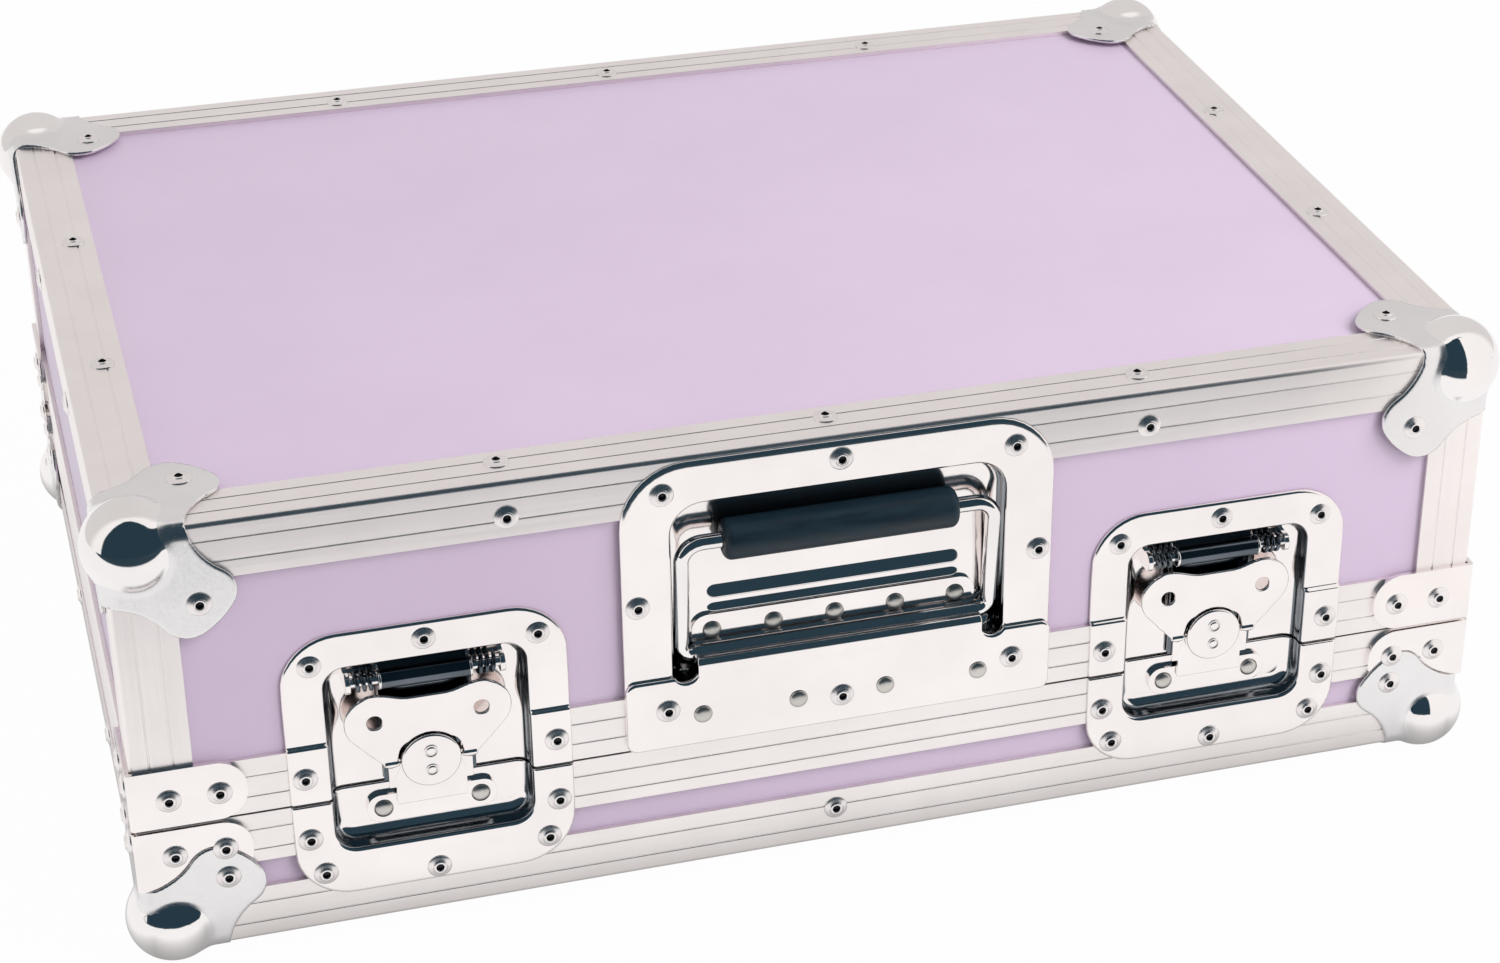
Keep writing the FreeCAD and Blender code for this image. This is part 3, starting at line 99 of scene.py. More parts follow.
def mix_shaders(tree, share, first, second):
    item = add(tree, "ShaderNodeMixShader", Fac=share)
    tree.links.new(first, item.inputs[1])
    tree.links.new(second, item.inputs[2])
    return item.outputs["Shader"]


def stretched_noise(tree, scale, detail=4.0, roughness=0.6):
    """Noise over the object's own coordinates, with its own scale per metre along each axis."""
    place = add(tree, "ShaderNodeTexCoord")
    mapping = add(tree, "ShaderNodeMapping", Vector=place.outputs["Object"], Scale=scale)
    noise = add(tree, "ShaderNodeTexNoise", Vector=mapping.outputs["Vector"], Scale=1.0, Detail=detail,
                Roughness=roughness)
    return noise.outputs["Fac"]


def spread(tree, value, low, high):
    """Maps noise, which stays near its middle, onto a range."""
    item = add(tree, "ShaderNodeMapRange", Value=value, From_Min=NOISE_SPAN[0], From_Max=NOISE_SPAN[1], To_Min=low,
               To_Max=high)
    return item.outputs["Result"]


def tint(tree, value, dark, light):
    ramp = tree.nodes.new("ShaderNodeValToRGB")
    for stop, position, colour in zip(ramp.color_ramp.elements, NOISE_SPAN, (dark, light)):
        stop.position = position
        stop.color = (*colour, 1.0)
    tree.links.new(value, ramp.inputs["Fac"])
    return ramp.outputs["Color"]


def bump(tree, shader, value, strength, distance):
    item = add(tree, "ShaderNodeBump", Height=value, Strength=strength, Distance=distance)
    tree.links.new(item.outputs["Normal"], shader.inputs["Normal"])


def brushed_metal(name, dark, light, rough, along, fine, depth):
    """Metal with streaks along one axis, or cloudy where no axis is given."""
    material, tree, shader = new_material(name)
    shader.inputs["Metallic"].default_value = 1.0
    scale = [fine] * 3
    if along is not None:
        scale[along] = fine / STREAK_STRETCH
    streaks = stretched_noise(tree, scale)
    clouds = stretched_noise(tree, [CLOUD_SCALE] * 3, detail=3.0)
    tree.links.new(tint(tree, clouds, dark, light), shader.inputs["Base Color"])
    tree.links.new(spread(tree, streaks, *rough), shader.inputs["Roughness"])
    bump(tree, shader, streaks, depth, METAL_GRAIN)
    return material


PROFILE = [
    brushed_metal(f"profile_{axis}", (0.92, 0.865, 0.85), (0.97, 0.915, 0.90), (0.30, 0.42), index, 2600.0, 0.05)
    for index, axis in enumerate("xyz")
]
STEEL = brushed_metal("bright_zinc", (0.90, 0.85, 0.835), (0.96, 0.91, 0.895), (0.08, 0.14), *PLAIN_GRAIN)
LOBE_STEEL = brushed_metal("corner_zinc", (0.80, 0.785, 0.785), (0.87, 0.85, 0.85), (0.20, 0.28), *PLAIN_GRAIN)
POLISHED = brushed_metal("polished_steel", (0.86, 0.83, 0.82), (0.93, 0.90, 0.89), (0.04, 0.08), None, 700.0, 0.01)
# painted reflection: near-black bluish steel on the latch carriers and springs, standing in for the dark surroundings
# they reflect
PAINTED_REFLECTION_STEEL = brushed_metal("painted_dark_reflection", (0.10, 0.12, 0.14), (0.18, 0.20, 0.225), (0.10, 0.16), *PLAIN_GRAIN)
# painted shade: a darker steel on the dishes' recess walls, standing in for the shadow and dark reflections there
WALL_SHADE_STEEL = brushed_metal("painted_wall_shade", (0.20, 0.225, 0.25), (0.32, 0.345, 0.37), (0.12, 0.20), *PLAIN_GRAIN)
RIVET_ALLOY = brushed_metal("rivet_alloy", (0.84, 0.80, 0.79), (0.92, 0.875, 0.865), (0.24, 0.32), *PLAIN_GRAIN)
DULL_STEEL = brushed_metal("dull_rivet", (0.60, 0.575, 0.54), (0.72, 0.69, 0.65), (0.28, 0.40), None, 900.0, 0.03)


def laminate():
    material, tree, shader = new_material("lilac_laminate")
    clouds = stretched_noise(tree, [14.0] * 3, detail=5.0)
    grain = stretched_noise(tree, [1400.0] * 3, detail=2.0)
    tree.links.new(tint(tree, clouds, (0.650, 0.520, 0.680), (0.680, 0.547, 0.710)), shader.inputs["Base Color"])
    tree.links.new(spread(tree, grain, 0.30, 0.44), shader.inputs["Roughness"])
    bump(tree, shader, grain, 0.12, SOFT_GRAIN)
    return material


def rubber():
    material, tree, shader = new_material("black_rubber")
    dust = stretched_noise(tree, [60.0, 260.0, 260.0], detail=6.0)
    grain = stretched_noise(tree, [2200.0] * 3, detail=2.0)
    tree.links.new(tint(tree, dust, (0.002, 0.010, 0.018), (0.005, 0.021, 0.034)), shader.inputs["Base Color"])
    tree.links.new(spread(tree, dust, 0.42, 0.60), shader.inputs["Roughness"])
    bump(tree, shader, grain, 0.2, SOFT_GRAIN)
    return material


def foam():
    material, tree, shader = new_material("dark_foam")
    cells = add(tree, "ShaderNodeTexVoronoi", Vector=add(tree, "ShaderNodeTexCoord").outputs["Object"], Scale=900.0)
    tree.links.new(tint(tree, cells.outputs["Distance"], (0.012, 0.012, 0.014), (0.05, 0.05, 0.055)),
                   shader.inputs["Base Color"])
    shader.inputs["Roughness"].default_value = 0.95
    bump(tree, shader, cells.outputs["Distance"], 0.6, FOAM_GRAIN)
    return material


# painted shade: near-black steel inside the pop rivets' holes and in the hub rivets' grooves
HOLE = brushed_metal("painted_rivet_hole_shade", (0.02, 0.02, 0.022), (0.05, 0.05, 0.055), (0.35, 0.5), None, 900.0, 0.02)
LILAC = laminate()
RUBBER = rubber()
FOAM = foam()


WELD_REACH = 1e-6
BEVEL_SEGMENTS = 2
BEVEL_ANGLE = 40
# breadth of the broken edges in millimetres
PANEL_BEVEL = 0.3
FINE_BEVEL = 0.15
PLATE_BEVEL = 0.2


def dress(name, material, bevel=0.0):
    """Gives a CAD node its material, smooth shading and slightly broken edges, in millimetres."""
    item = nodes[name]
    item.data.materials.clear()
    item.data.materials.append(material)
    weld = item.modifiers.new("joined", "WELD")
    weld.merge_threshold = WELD_REACH
    if bevel:
        edge = item.modifiers.new("broken_edges", "BEVEL")
        edge.width = bevel * MM
        edge.segments = BEVEL_SEGMENTS
        edge.limit_method = "ANGLE"
        edge.angle_limit = math.radians(BEVEL_ANGLE)
        item.modifiers.new("flat_faces", "WEIGHTED_NORMAL")
    for face in item.data.polygons:
        face.use_smooth = True


for name in nodes:
    if "_panel_" in name:
        dress(name, LILAC, PANEL_BEVEL)
    elif "_edge_" in name or "_rim_" in name:
        dress(name, PROFILE[0 if name.endswith(("front", "back")) else 1], FINE_BEVEL)
    elif "corner_angles" in name:
        dress(name, PROFILE[2], FINE_BEVEL)
    elif "foam" in name:
        dress(name, FOAM)
    elif name == "handle_grip":
        dress(name, RUBBER)
    elif name in ("handle_bail", "latch_pins"):
        dress(name, POLISHED, FINE_BEVEL)
    # carriers and springs get the painted dark reflection
    elif "carrier" in name:
        dress(name, PAINTED_REFLECTION_STEEL, FINE_BEVEL)
    elif "spring" in name:
        dress(name, PAINTED_REFLECTION_STEEL)
    else:
        dress(name, STEEL, PLATE_BEVEL)


# mesh tools: points are in millimetres in the case's frame

# reach of a field's slope, and the steps that draw a surface onto the field's zero
SLOPE_REACH = 0.05
DRAW_STEPS = 4
LEAST_SLOPE_SQUARE = 0.25


def build(name, vertices, faces, material, body, slot, *replaced):
    """A smooth mesh piece that rides on a body and may stand for CAD nodes."""
    mesh = bpy.data.meshes.new(name)
    mesh.from_pydata((np.asarray(vertices) * MM).tolist(), [], [[int(spot) for spot in face] for face in faces])
    mesh.materials.append(material)
    mesh.polygons.foreach_set("use_smooth", [True] * len(mesh.polygons))
    item = bpy.data.objects.new(name, mesh)
    bpy.context.scene.collection.objects.link(item)
    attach(item, body)
    if replaced:
        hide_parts(*replaced)
    return item


def repaint(item, material, faces):
    """Gives some faces of a piece a material of their own."""
    item.data.materials.append(material)
    for face in faces:
        item.data.polygons[face].material_index = len(item.data.materials) - 1


def join(parts):
    """Vertices and faces of several meshes in one list each."""
    vertices, faces, count = [], [], 0
    for points, quads in parts:
        vertices.append(np.asarray(points))
        faces += [[spot + count for spot in face] for face in quads]
        count += len(points)
    return np.concatenate(vertices), faces


def loft(rings, closed=True, caps=False):
    """Faces between rings of equally many points, each ring open or closed, with or without end caps."""
    rings = np.asarray(rings, float)
    rows, columns = rings.shape[:2]
    faces = []
    for row in range(rows - 1):
        for column in range(columns if closed else columns - 1):
            after = (column + 1) % columns
            here, there = row * columns, (row + 1) * columns
            faces.append([here + column, here + after, there + after, there + column])
    if caps:
        faces.append(list(range(columns))[::-1])
        faces.append([(rows - 1) * columns + column for column in range(columns)])
    return rings.reshape(-1, 3), faces


def arc(start, stop, count):
    return [math.radians(start + (stop - start) * step / count) for step in range(count + 1)]


def smooth_step(value):
    value = np.clip(value, 0.0, 1.0)
    return value * value * (3 - 2 * value)


def surface_of(field, low, high, step):
    """Mesh of the surface where a field changes sign, found cell by cell and drawn onto the field's zero."""
    low = np.asarray(low, float)
    counts = np.ceil((np.asarray(high) - low) / step).astype(int) + 1
    axes = [low[axis] + step * np.arange(counts[axis]) for axis in range(3)]
    values = field(np.stack(np.meshgrid(*axes, indexing="ij"), axis=-1).reshape(-1, 3)).reshape(counts)
    inside = values < 0
    near = sum(inside[x:counts[0] - 1 + x, y:counts[1] - 1 + y, z:counts[2] - 1 + z].astype(int)
               for x in (0, 1) for y in (0, 1) for z in (0, 1))
    active = (near > 0) & (near < 8)
    number = np.full(active.shape, -1)
    number[active] = np.arange(active.sum())
    places, hits = np.zeros((active.sum(), 3)), np.zeros(active.sum())
    faces = []
    for axis in range(3):
        ahead, aside = (axis + 1) % 3, (axis + 2) % 3
        first = tuple(slice(0, -1) if index == axis else slice(1, -1) for index in range(3))
        second = tuple(slice(1, None) if index == axis else slice(1, -1) for index in range(3))
        spots = np.argwhere(inside[first] != inside[second]) + [int(index != axis) for index in range(3)]
        ends = spots + np.eye(3, dtype=int)[axis]
        start_value, end_value = values[tuple(spots.T)], values[tuple(ends.T)]
        crossing = low + step * spots.astype(float)
        crossing[:, axis] += step * start_value / (start_value - end_value)
        quad = []
        for back_ahead, back_aside in ((0, 0), (1, 0), (1, 1), (0, 1)):
            cell = spots.copy()
            cell[:, ahead] -= back_ahead
            cell[:, aside] -= back_aside
            quad.append(number[tuple(cell.T)])
            np.add.at(places, quad[-1], crossing)
            np.add.at(hits, quad[-1], 1)
        quad = np.stack(quad, axis=1)
        outward = inside[tuple(spots.T)]
        faces.append(np.where(outward[:, None], quad, quad[:, ::-1]))
    places /= hits[:, None]
    for _ in range(DRAW_STEPS):
        slope = np.stack([field(places + SLOPE_REACH * side) - field(places - SLOPE_REACH * side)
                          for side in np.eye(3)], axis=-1)
        slope /= 2 * SLOPE_REACH
        steepness = np.maximum((slope ** 2).sum(-1, keepdims=True), LEAST_SLOPE_SQUARE)
        move = field(places)[:, None] * slope / steepness
        places -= np.clip(move, -step / 2, step / 2)
    return places, np.concatenate(faces).tolist()


def smooth_min(first, second, blend):
    share = np.clip(blend - np.abs(first - second), 0, None) / blend
    return np.minimum(first, second) - share * share * blend / 4


def slab(outline, through, radius):
    """Distance to a plate, from the distances to its outline and to its faces, with rounded edges."""
    sides = np.stack([outline + radius, through + radius])
    return np.minimum(sides.max(0), 0) + np.hypot(*np.maximum(sides, 0)) - radius


# rivets: profiles are radius and height above the seat

def solids_of(name):
    """Lowest and highest corner of each separate solid of a CAD node, in millimetres."""
    mesh = nodes[name].data
    points = np.empty(len(mesh.vertices) * 3, np.float32)
    mesh.vertices.foreach_get("co", points)
    points = points.reshape(-1, 3).astype(float) / MM
    _, alike = np.unique(np.round(points, 3), axis=0, return_inverse=True)
    parent = list(range(alike.max() + 1))

    def root(spot):
        while parent[spot] != spot:
            parent[spot] = parent[parent[spot]]
            spot = parent[spot]
        return spot

    for edge in mesh.edges:
        first, second = (root(int(alike.flat[spot])) for spot in edge.vertices)
        parent[first] = second
    groups = {}
    for spot, point in zip(alike.flat, points):
        groups.setdefault(root(int(spot)), []).append(point)
    return [(np.min(group, axis=0), np.max(group, axis=0)) for group in groups.values()]


POP_RIVET = [
    (4.6, 0.0), (4.6, 0.2), (4.45, 0.38), (4.1, 0.54), (3.6, 0.72), (3.1, 0.9), (2.75, 1.03), (2.6, 1.12),
    (2.5, 1.3), (2.35, 1.42), (2.15, 1.47), (1.75, 1.47), (1.55, 1.4), (1.45, 1.2), (1.4, 0.9), (1.38, 0.45),
    (0.0, 0.35),
]
# rings of a pop rivet's profile, at its hole, whose faces get painted shade
POP_HOLE_SHADE_RINGS = 3
SOLID_RIVET = [
    (3.6, 0.0), (3.6, 0.2), (3.48, 0.5), (3.2, 0.85), (2.75, 1.15), (2.1, 1.4), (1.4, 1.54), (0.7, 1.59), (0.0, 1.6),
]
RIVET_SIDES = 24
# a CAD rivet that is this much broader than a solid one is a pop rivet
POP_EXCESS = 0.5


def lathe(profile, count):
    """Rings of a profile round the Z axis, with a cap where it ends on the axis."""
    angles = np.arange(count) * 2 * math.pi / count
    rings = [[(radius * math.cos(angle), radius * math.sin(angle), height) for angle in angles]
             for radius, height in profile if radius > 0]
    vertices, faces = loft(rings)
    if profile[-1][0] == 0:
        vertices = np.concatenate([vertices, [(0.0, 0.0, profile[-1][1])]])
        last = len(vertices) - 1
        start = last - count
        faces += [[start + side, start + (side + 1) % count, last] for side in range(count)]
    return vertices, faces


def rivets(name, node, body):
    """Rivet heads in the places of a CAD node's plain ones, seated on the same faces."""
    parts, dark, dull, count = [], [], [], 0
    inner = RIVET_SIDES * POP_HOLE_SHADE_RINGS
    middle = np.array([0.0, 0.0, (CASE_LOW + CASE_HIGH) / 2])
    for low, high in solids_of(node):
        size = high - low
        axis = int(np.argmin(size))
        centre = (low + high) / 2
        way = 1.0 if centre[axis] > middle[axis] else -1.0
        seat = centre.copy()
        seat[axis] = low[axis] if way > 0 else high[axis]
        popped = size.max() > 2 * SOLID_RIVET[0][0] + POP_EXCESS
        points, faces = lathe(POP_RIVET if popped else SOLID_RIVET, RIVET_SIDES)
        out = np.zeros(3)
        out[axis] = way
        side = np.roll(out, 1) * way
        turned = points @ np.stack([side, np.cross(out, side), out])
        if popped:
            # painted shade in the hole
            dark += list(range(count + len(faces) - inner, count + len(faces)))
        else:
            dull += list(range(count, count + len(faces)))
        count += len(faces)
        parts.append((seat + turned, faces))
    item = build(name, *join(parts), RIVET_ALLOY, body, "rivet", node)
    repaint(item, HOLE, dark)
    repaint(item, DULL_STEEL, dull)


rivets("lid_rivet_heads", "lid_rivets", "lid")
rivets("base_rivet_heads", "base_rivets", "base")


# ball corners: a pressed cap with three lobes, at a case corner that points along (1, 1, 1)

BALL_RADIUS = 17.2
BALL_INSET = 10.2
LOBE_REACH = 44.0
LOBE_PLATE = 1.8
# how far the plates reach round the rounded case edges
LOBE_SINK = 1.5
LOBE_ARCS = (
    ((0.65, 0.0), (0.74, 0.25), (0.91, 0.42)),
    ((0.91, 0.42), (1.0, 0.58), (0.95, 0.75)),
    ((0.95, 0.75), (0.86, 0.86), (0.75, 0.95)),
    ((0.75, 0.95), (0.58, 1.0), (0.42, 0.91)),
    ((0.42, 0.91), (0.25, 0.74), (0.0, 0.65)),
)
LOBE_ROUND = 0.7
LOBE_RIDGE = 7.0
# rounding of the case edges that the plates lie on
LOBE_BED = 4.0
BALL_BLEND = 2.0
BALL_STEP = 0.75
BALL_MARGIN = 2.0
# faces this near to the ball's surface are polished
BALL_SKIN = 0.25
RASTER_STEP = 0.25
RASTER_MARGIN = 4.0
LOBE_ARC_STEPS = 12


def arc_through(first, middle, last, count):
    """Points on the circle through three points, from the first up to but not at the last."""
    first, middle, last = (np.asarray(point, float) for point in (first, middle, last))
    system = 2 * np.array([middle - first, last - first])
    centre = np.linalg.solve(system, [middle @ middle - first @ first, last @ last - first @ first])
    angles = [math.atan2(*(point - centre)[::-1]) for point in (first, middle, last)]
    turn = (angles[2] - angles[0]) % (2 * math.pi)
    if (angles[1] - angles[0]) % (2 * math.pi) > turn:
        turn -= 2 * math.pi
    radius = np.linalg.norm(first - centre)
    steps = angles[0] + turn * np.arange(count) / count
    return centre + radius * np.stack([np.cos(steps), np.sin(steps)], axis=-1)


def polygon_distance(points, corners):
    """Signed distance in a plane to a closed outline, below zero inside."""
    best = np.full(len(points), np.inf)
    inside = np.zeros(len(points), bool)
    for tail, head in zip(corners, np.roll(corners, -1, axis=0)):
        way, gap = head - tail, points - tail
        share = np.clip(gap @ way / (way @ way), 0, 1)
        best = np.minimum(best, np.hypot(*(gap - share[:, None] * way).T))
        crosses = (tail[1] > points[:, 1]) != (head[1] > points[:, 1])
        rise = way[1] if way[1] else 1.0
        inside ^= crosses & (gap[:, 0] < way[0] * gap[:, 1] / rise)
    return np.where(inside, -best, best)


def lobe_raster():
    """Distances to a lobe's outline on a fine grid, with the grid's lowest place."""
    outline = [-LOBE_REACH * point for lobe in LOBE_ARCS for point in arc_through(*lobe, LOBE_ARC_STEPS)]
    neck = -LOBE_REACH * LOBE_ARCS[0][0][0]
    outline += [np.array(spot) for spot in ((0.0, neck), (LOBE_PLATE, neck), (LOBE_PLATE, LOBE_PLATE),
                                            (neck, LOBE_PLATE))]
    low = -LOBE_REACH - RASTER_MARGIN
    axis = np.arange(low, BALL_RADIUS, RASTER_STEP)
    places = np.stack(np.meshgrid(axis, axis, indexing="ij"), axis=-1).reshape(-1, 2)
    return polygon_distance(places, np.array(outline)).reshape(len(axis), -1), low


LOBE_GRID, LOBE_LOW = lobe_raster()


def lobe_outline(x, y):
    """The lobe outline's distance between the grid's places."""
    place = (np.stack([x, y]) - LOBE_LOW) / RASTER_STEP
    spot = np.clip(place.astype(int), 0, len(LOBE_GRID) - 2)
    part = place - spot
    rows = [LOBE_GRID[spot[0] + step, spot[1]] * (1 - part[1]) + LOBE_GRID[spot[0] + step, spot[1] + 1] * part[1]
            for step in (0, 1)]
    return rows[0] * (1 - part[0]) + rows[1] * part[0]


def ball_field(points):
    x, y, z = points.T
    cap = np.linalg.norm(points + BALL_INSET, axis=1) - BALL_RADIUS
    lobes = np.full(len(points), np.inf)
    for first, second, third in ((x, y, z), (y, z, x), (z, x, y)):
        through = np.abs(third - (LOBE_PLATE - LOBE_SINK) / 2) - (LOBE_PLATE + LOBE_SINK) / 2
        lobes = np.minimum(lobes, slab(lobe_outline(first, second), through, LOBE_ROUND))
    beyond = points - (LOBE_PLATE - LOBE_RIDGE)
    ridge = np.linalg.norm(np.maximum(beyond, 0), axis=1) + np.minimum(beyond.max(axis=1), 0) - LOBE_RIDGE
    whole = smooth_min(cap, np.maximum(lobes, ridge), BALL_BLEND)
    case = np.linalg.norm(np.maximum(points + LOBE_BED, 0), axis=1) - LOBE_BED
    return np.maximum(whole, -case)


BALL_MESH = surface_of(ball_field, [-LOBE_REACH - BALL_MARGIN] * 3, [BALL_RADIUS - BALL_INSET + BALL_MARGIN] * 3,
                       BALL_STEP)


def ball_corners(name, node, body, level, rise):
    """Four caps at one level of the case, with polished balls."""
    points, faces = BALL_MESH
    parts = []
    for x in (-1, 1):
        for y in (-1, 1):
            ways = np.array([x, y, rise])
            turned = faces if x * y * rise > 0 else [face[::-1] for face in faces]
            parts.append((points * ways + [x * HALF_WIDTH, y * HALF_DEPTH, level], turned))
    item = build(name, *join(parts), LOBE_STEEL, body, "corner", node)
    centres = np.linalg.norm(points[np.array(faces)].mean(axis=1) + BALL_INSET, axis=1)
    round_faces = np.flatnonzero(np.abs(centres - BALL_RADIUS) < BALL_SKIN)
    repaint(item, POLISHED, [int(face) + copy * len(faces) for copy in range(len(parts)) for face in round_faces])


ball_corners("lid_corner_caps", "lid_ball_corners", "lid", CASE_HIGH, 1)
ball_corners("base_corner_caps", "base_ball_corners", "base", CASE_LOW, -1)


# pressed dishes: outlines are given as x and z from the dish's middle on the seam, and a height out of the front

def on_front(points, middle):
    points = np.asarray(points, float)
    return np.stack([middle + points[..., 0], -HALF_DEPTH - points[..., 2], SEAM + points[..., 1]], axis=-1)


def thicken(item, thick):
    shell = item.modifiers.new("sheet", "SOLIDIFY")
    shell.thickness = thick * MM
    shell.offset = -1.0
    shell.use_quality_normals = True


SHEET = 1.2
# how much thinner than its sheet a pressing is drawn, so that its back stays off its seat
SHEET_GAP = 0.1
LATCH_HALF = 52.0
LATCH_RISE = 69.0
LATCH_DROP = 41.3
LATCH_CORNER = 21.0
LATCH_RECESS_HALF = 36.5
LATCH_RECESS_RISE = 54.0
LATCH_RECESS_DROP = 22.0
LATCH_RECESS_CORNER = 8.0
LATCH_FLOOR = -7.4
LATCH_SEAM_EDGE = 0.45
JOGGLE_LOW = 23.4
JOGGLE_RUN = 1.4
JOGGLE_DROP = 1.5
JOGGLE_MARGIN = 0.4
JOGGLE_ROWS = 10
SEAM_ROUND = 0.7
# rises of the outline's points on the legs, for all dish halves and for those with a joggle
LEG_ROWS = [1.5, 6.0, 12.0, 18.0]
LONG_LEG_ROWS = [30.0, 36.0, 42.0]
CORNER_STEPS = 9
# angle of the first point past a leg, whose end is the corner's start
CORNER_START = 9
PRESS_LIP = 1.9
PRESS_FOOT = 5.0
# breadth of the flat rows beside a rounding, which keep the shading of flat parts flat
HOLD = 0.4
# rows of a dish's wall, counted from the start of its lip, that get the painted shade of the darker wall steel
WALL_SHADE_ROWS = (3, 10)


def u_outline(half, far, corner, grow, legs):
    """Open outline of a dish half: up one leg from the seam, round the far end and down the other leg."""
    centre_x, centre_z, radius = half - corner, far - corner, corner + grow
    left = [(-half - grow, rise) for rise in legs if rise < centre_z]
    left += [(-half - grow, centre_z)] * (len(legs) - len(left))
    left += [(-centre_x - radius * math.cos(turn), centre_z + radius * math.sin(turn))
             for turn in arc(CORNER_START, 90, CORNER_STEPS)]
    return np.array(left + [(-x, z) for x, z in left[::-1]])


def pressed_half(name, middle, far, recess_far, way, joggle, body, node):
    """One half of a latch dish: rounded flange, rounded lip, wall and foot round the floor, open at the seam."""
    legs = [LATCH_SEAM_EDGE + SEAM_ROUND * (1 - math.sin(turn)) for turn in arc(90, 0, 4)] + LEG_ROWS
    if joggle:
        bend = np.linspace(JOGGLE_LOW - JOGGLE_MARGIN, JOGGLE_LOW + JOGGLE_RUN + JOGGLE_MARGIN, JOGGLE_ROWS)
        legs += list(bend) + LONG_LEG_ROWS

    def seam_drop(outline):
        lean = np.clip((LATCH_SEAM_EDGE + SEAM_ROUND - outline[:, 1]) / SEAM_ROUND, 0.0, 1.0)
        return SEAM_ROUND * (1 - np.sqrt(1 - lean * lean))

    def flange(outline):
        drop = JOGGLE_DROP * smooth_step((outline[:, 1] - JOGGLE_LOW) / JOGGLE_RUN) if joggle else 0.0
        return SHEET - drop

    def outer(grow):
        return u_outline(LATCH_HALF, far, LATCH_CORNER, grow, legs)

    def recess(grow):
        return u_outline(LATCH_RECESS_HALF, recess_far, LATCH_RECESS_CORNER, grow, legs)

    rings = []

    def ring(outline, height):
        rings.append(np.column_stack([outline[:, 0], outline[:, 1] * way, height - seam_drop(outline)]))

    for turn in arc(90, 0, 4):
        outline = outer(SHEET * (math.sin(turn) - 1))
        ring(outline, flange(outline) - SHEET + SHEET * math.cos(turn))
    for outline in (outer(-SHEET - HOLD), recess(PRESS_LIP + HOLD)):
        ring(outline, flange(outline))
    lip = len(rings)
    for turn in arc(0, 90, 6):
        outline = recess(PRESS_LIP * (1 - math.sin(turn)))
        ring(outline, flange(outline) - PRESS_LIP * (1 - math.cos(turn)))
    for turn in arc(0, 90, 6):
        outline = recess(PRESS_FOOT * (math.cos(turn) - 1))
        ring(outline, LATCH_FLOOR + PRESS_FOOT * (1 - math.sin(turn)))
    ring(recess(-PRESS_FOOT - HOLD), LATCH_FLOOR)
    vertices, faces = loft(on_front(rings, middle), closed=False)
    count = len(rings[-1])
    start = (len(rings) - 1) * count
    faces += [[start + step, start + step + 1, start + count - 2 - step, start + count - 1 - step]
              for step in range(count // 2 - 1)]
    if way > 0:
        faces = [face[::-1] for face in faces]
    item = build(name, vertices, faces, STEEL, body, "dish", node)
    # painted shade on the recess wall
    repaint(item, WALL_SHADE_STEEL, range((lip + WALL_SHADE_ROWS[0]) * (count - 1), (lip + WALL_SHADE_ROWS[1]) * (count - 1)))
    thicken(item, SHEET - SHEET_GAP)


LUG_INSET = 27.0
LUG_THICK = 2.0
LUG_REACH = (0.2, -7.6)
PIN_RISE = 46.0
LUG_HALF = 3.6
LUG_ROUND = 2.9
LUG_BEVEL = 0.3


def lugs(name, middle):
    """The two ears that hold a latch's pin."""
    front, back = LUG_REACH
    outline = [(back, -LUG_HALF)]
    for start, side in ((-90, -1), (0, 1)):
        centre = (front - LUG_ROUND, side * (LUG_HALF - LUG_ROUND))
        outline += [(centre[0] + LUG_ROUND * math.cos(turn), centre[1] + LUG_ROUND * math.sin(turn))
                    for turn in arc(start, start + 90, 6)]
    outline.append((back, LUG_HALF))
    parts = []
    for side in (-1, 1):
        rings = [[(x, PIN_RISE + rise, out) for out, rise in outline]
                 for x in (side * LUG_INSET, side * (LUG_INSET + LUG_THICK))]
        vertices, faces = loft(on_front(rings, middle), caps=True)
        parts.append((vertices, faces if side < 0 else [face[::-1] for face in faces]))
    item = build(name, *join(parts), STEEL, "lid", "dish")
    edge = item.modifiers.new("broken_edges", "BEVEL")
    edge.width = LUG_BEVEL * MM
    edge.segments = BEVEL_SEGMENTS
    edge.harden_normals = True


for side, way in (("left", -1), ("right", 1)):
    middle = LATCH_X * way
    pressed_half(f"latch_{side}_upper_pressing", middle, LATCH_RISE, LATCH_RECESS_RISE, 1, True, "lid",
                 f"latch_{side}_upper_dish")
    pressed_half(f"latch_{side}_lower_pressing", middle, LATCH_DROP, LATCH_RECESS_DROP, -1, False, "base",
                 f"latch_{side}_lower_dish")
    lugs(f"latch_{side}_lugs", middle)


# wings: a pressed plate with two finger lobes, tapered towards the hub

HUB_RISE = 10.0
# circles as x, rise and radius; the bridge as half breadth, lowest and highest rise
WING_LOBE = (19.5, 29.0, 11.0)
WING_FOOT = (14.6, 10.6, 2.2)
WING_BRIDGE = (19.5, 19.0, 37.6)
WING_BAY = 11.6
WING_HOLE = 2.8
WING_HALF_PLATE = 0.7
WING_DEPTH = 1.9
WING_ROUND = 0.45
WING_BLEND = 5.0
WING_BOX = ((-32.0, -2.6, 7.0), (32.0, 2.6, 42.0))
WING_STEP = 0.5
# radius and reach along x of the knuckles on the wing's pin
KNUCKLE = (1.1, 17.0)
KNUCKLE_BLEND = 0.8


def round_cone(x, z, first, second):
    """Distance to the shape that two circles and their outer tangents bound."""
    start, end = np.array(first[:2]), np.array(second[:2])
    way = end - start
    length = np.hypot(*way)
    lean = (first[2] - second[2]) / length
    rise = math.sqrt(1 - lean * lean)
    along = ((x - start[0]) * way[0] + (z - start[1]) * way[1]) / length
    across = np.abs((x - start[0]) * way[1] - (z - start[1]) * way[0]) / length
    key = across * -lean + along * rise
    near_start = np.hypot(across, along) - first[2]
    near_end = np.hypot(across, along - length) - second[2]
    between = across * rise + along * lean - first[2]
    return np.where(key < 0, near_start, np.where(key > length * rise, near_end, between))


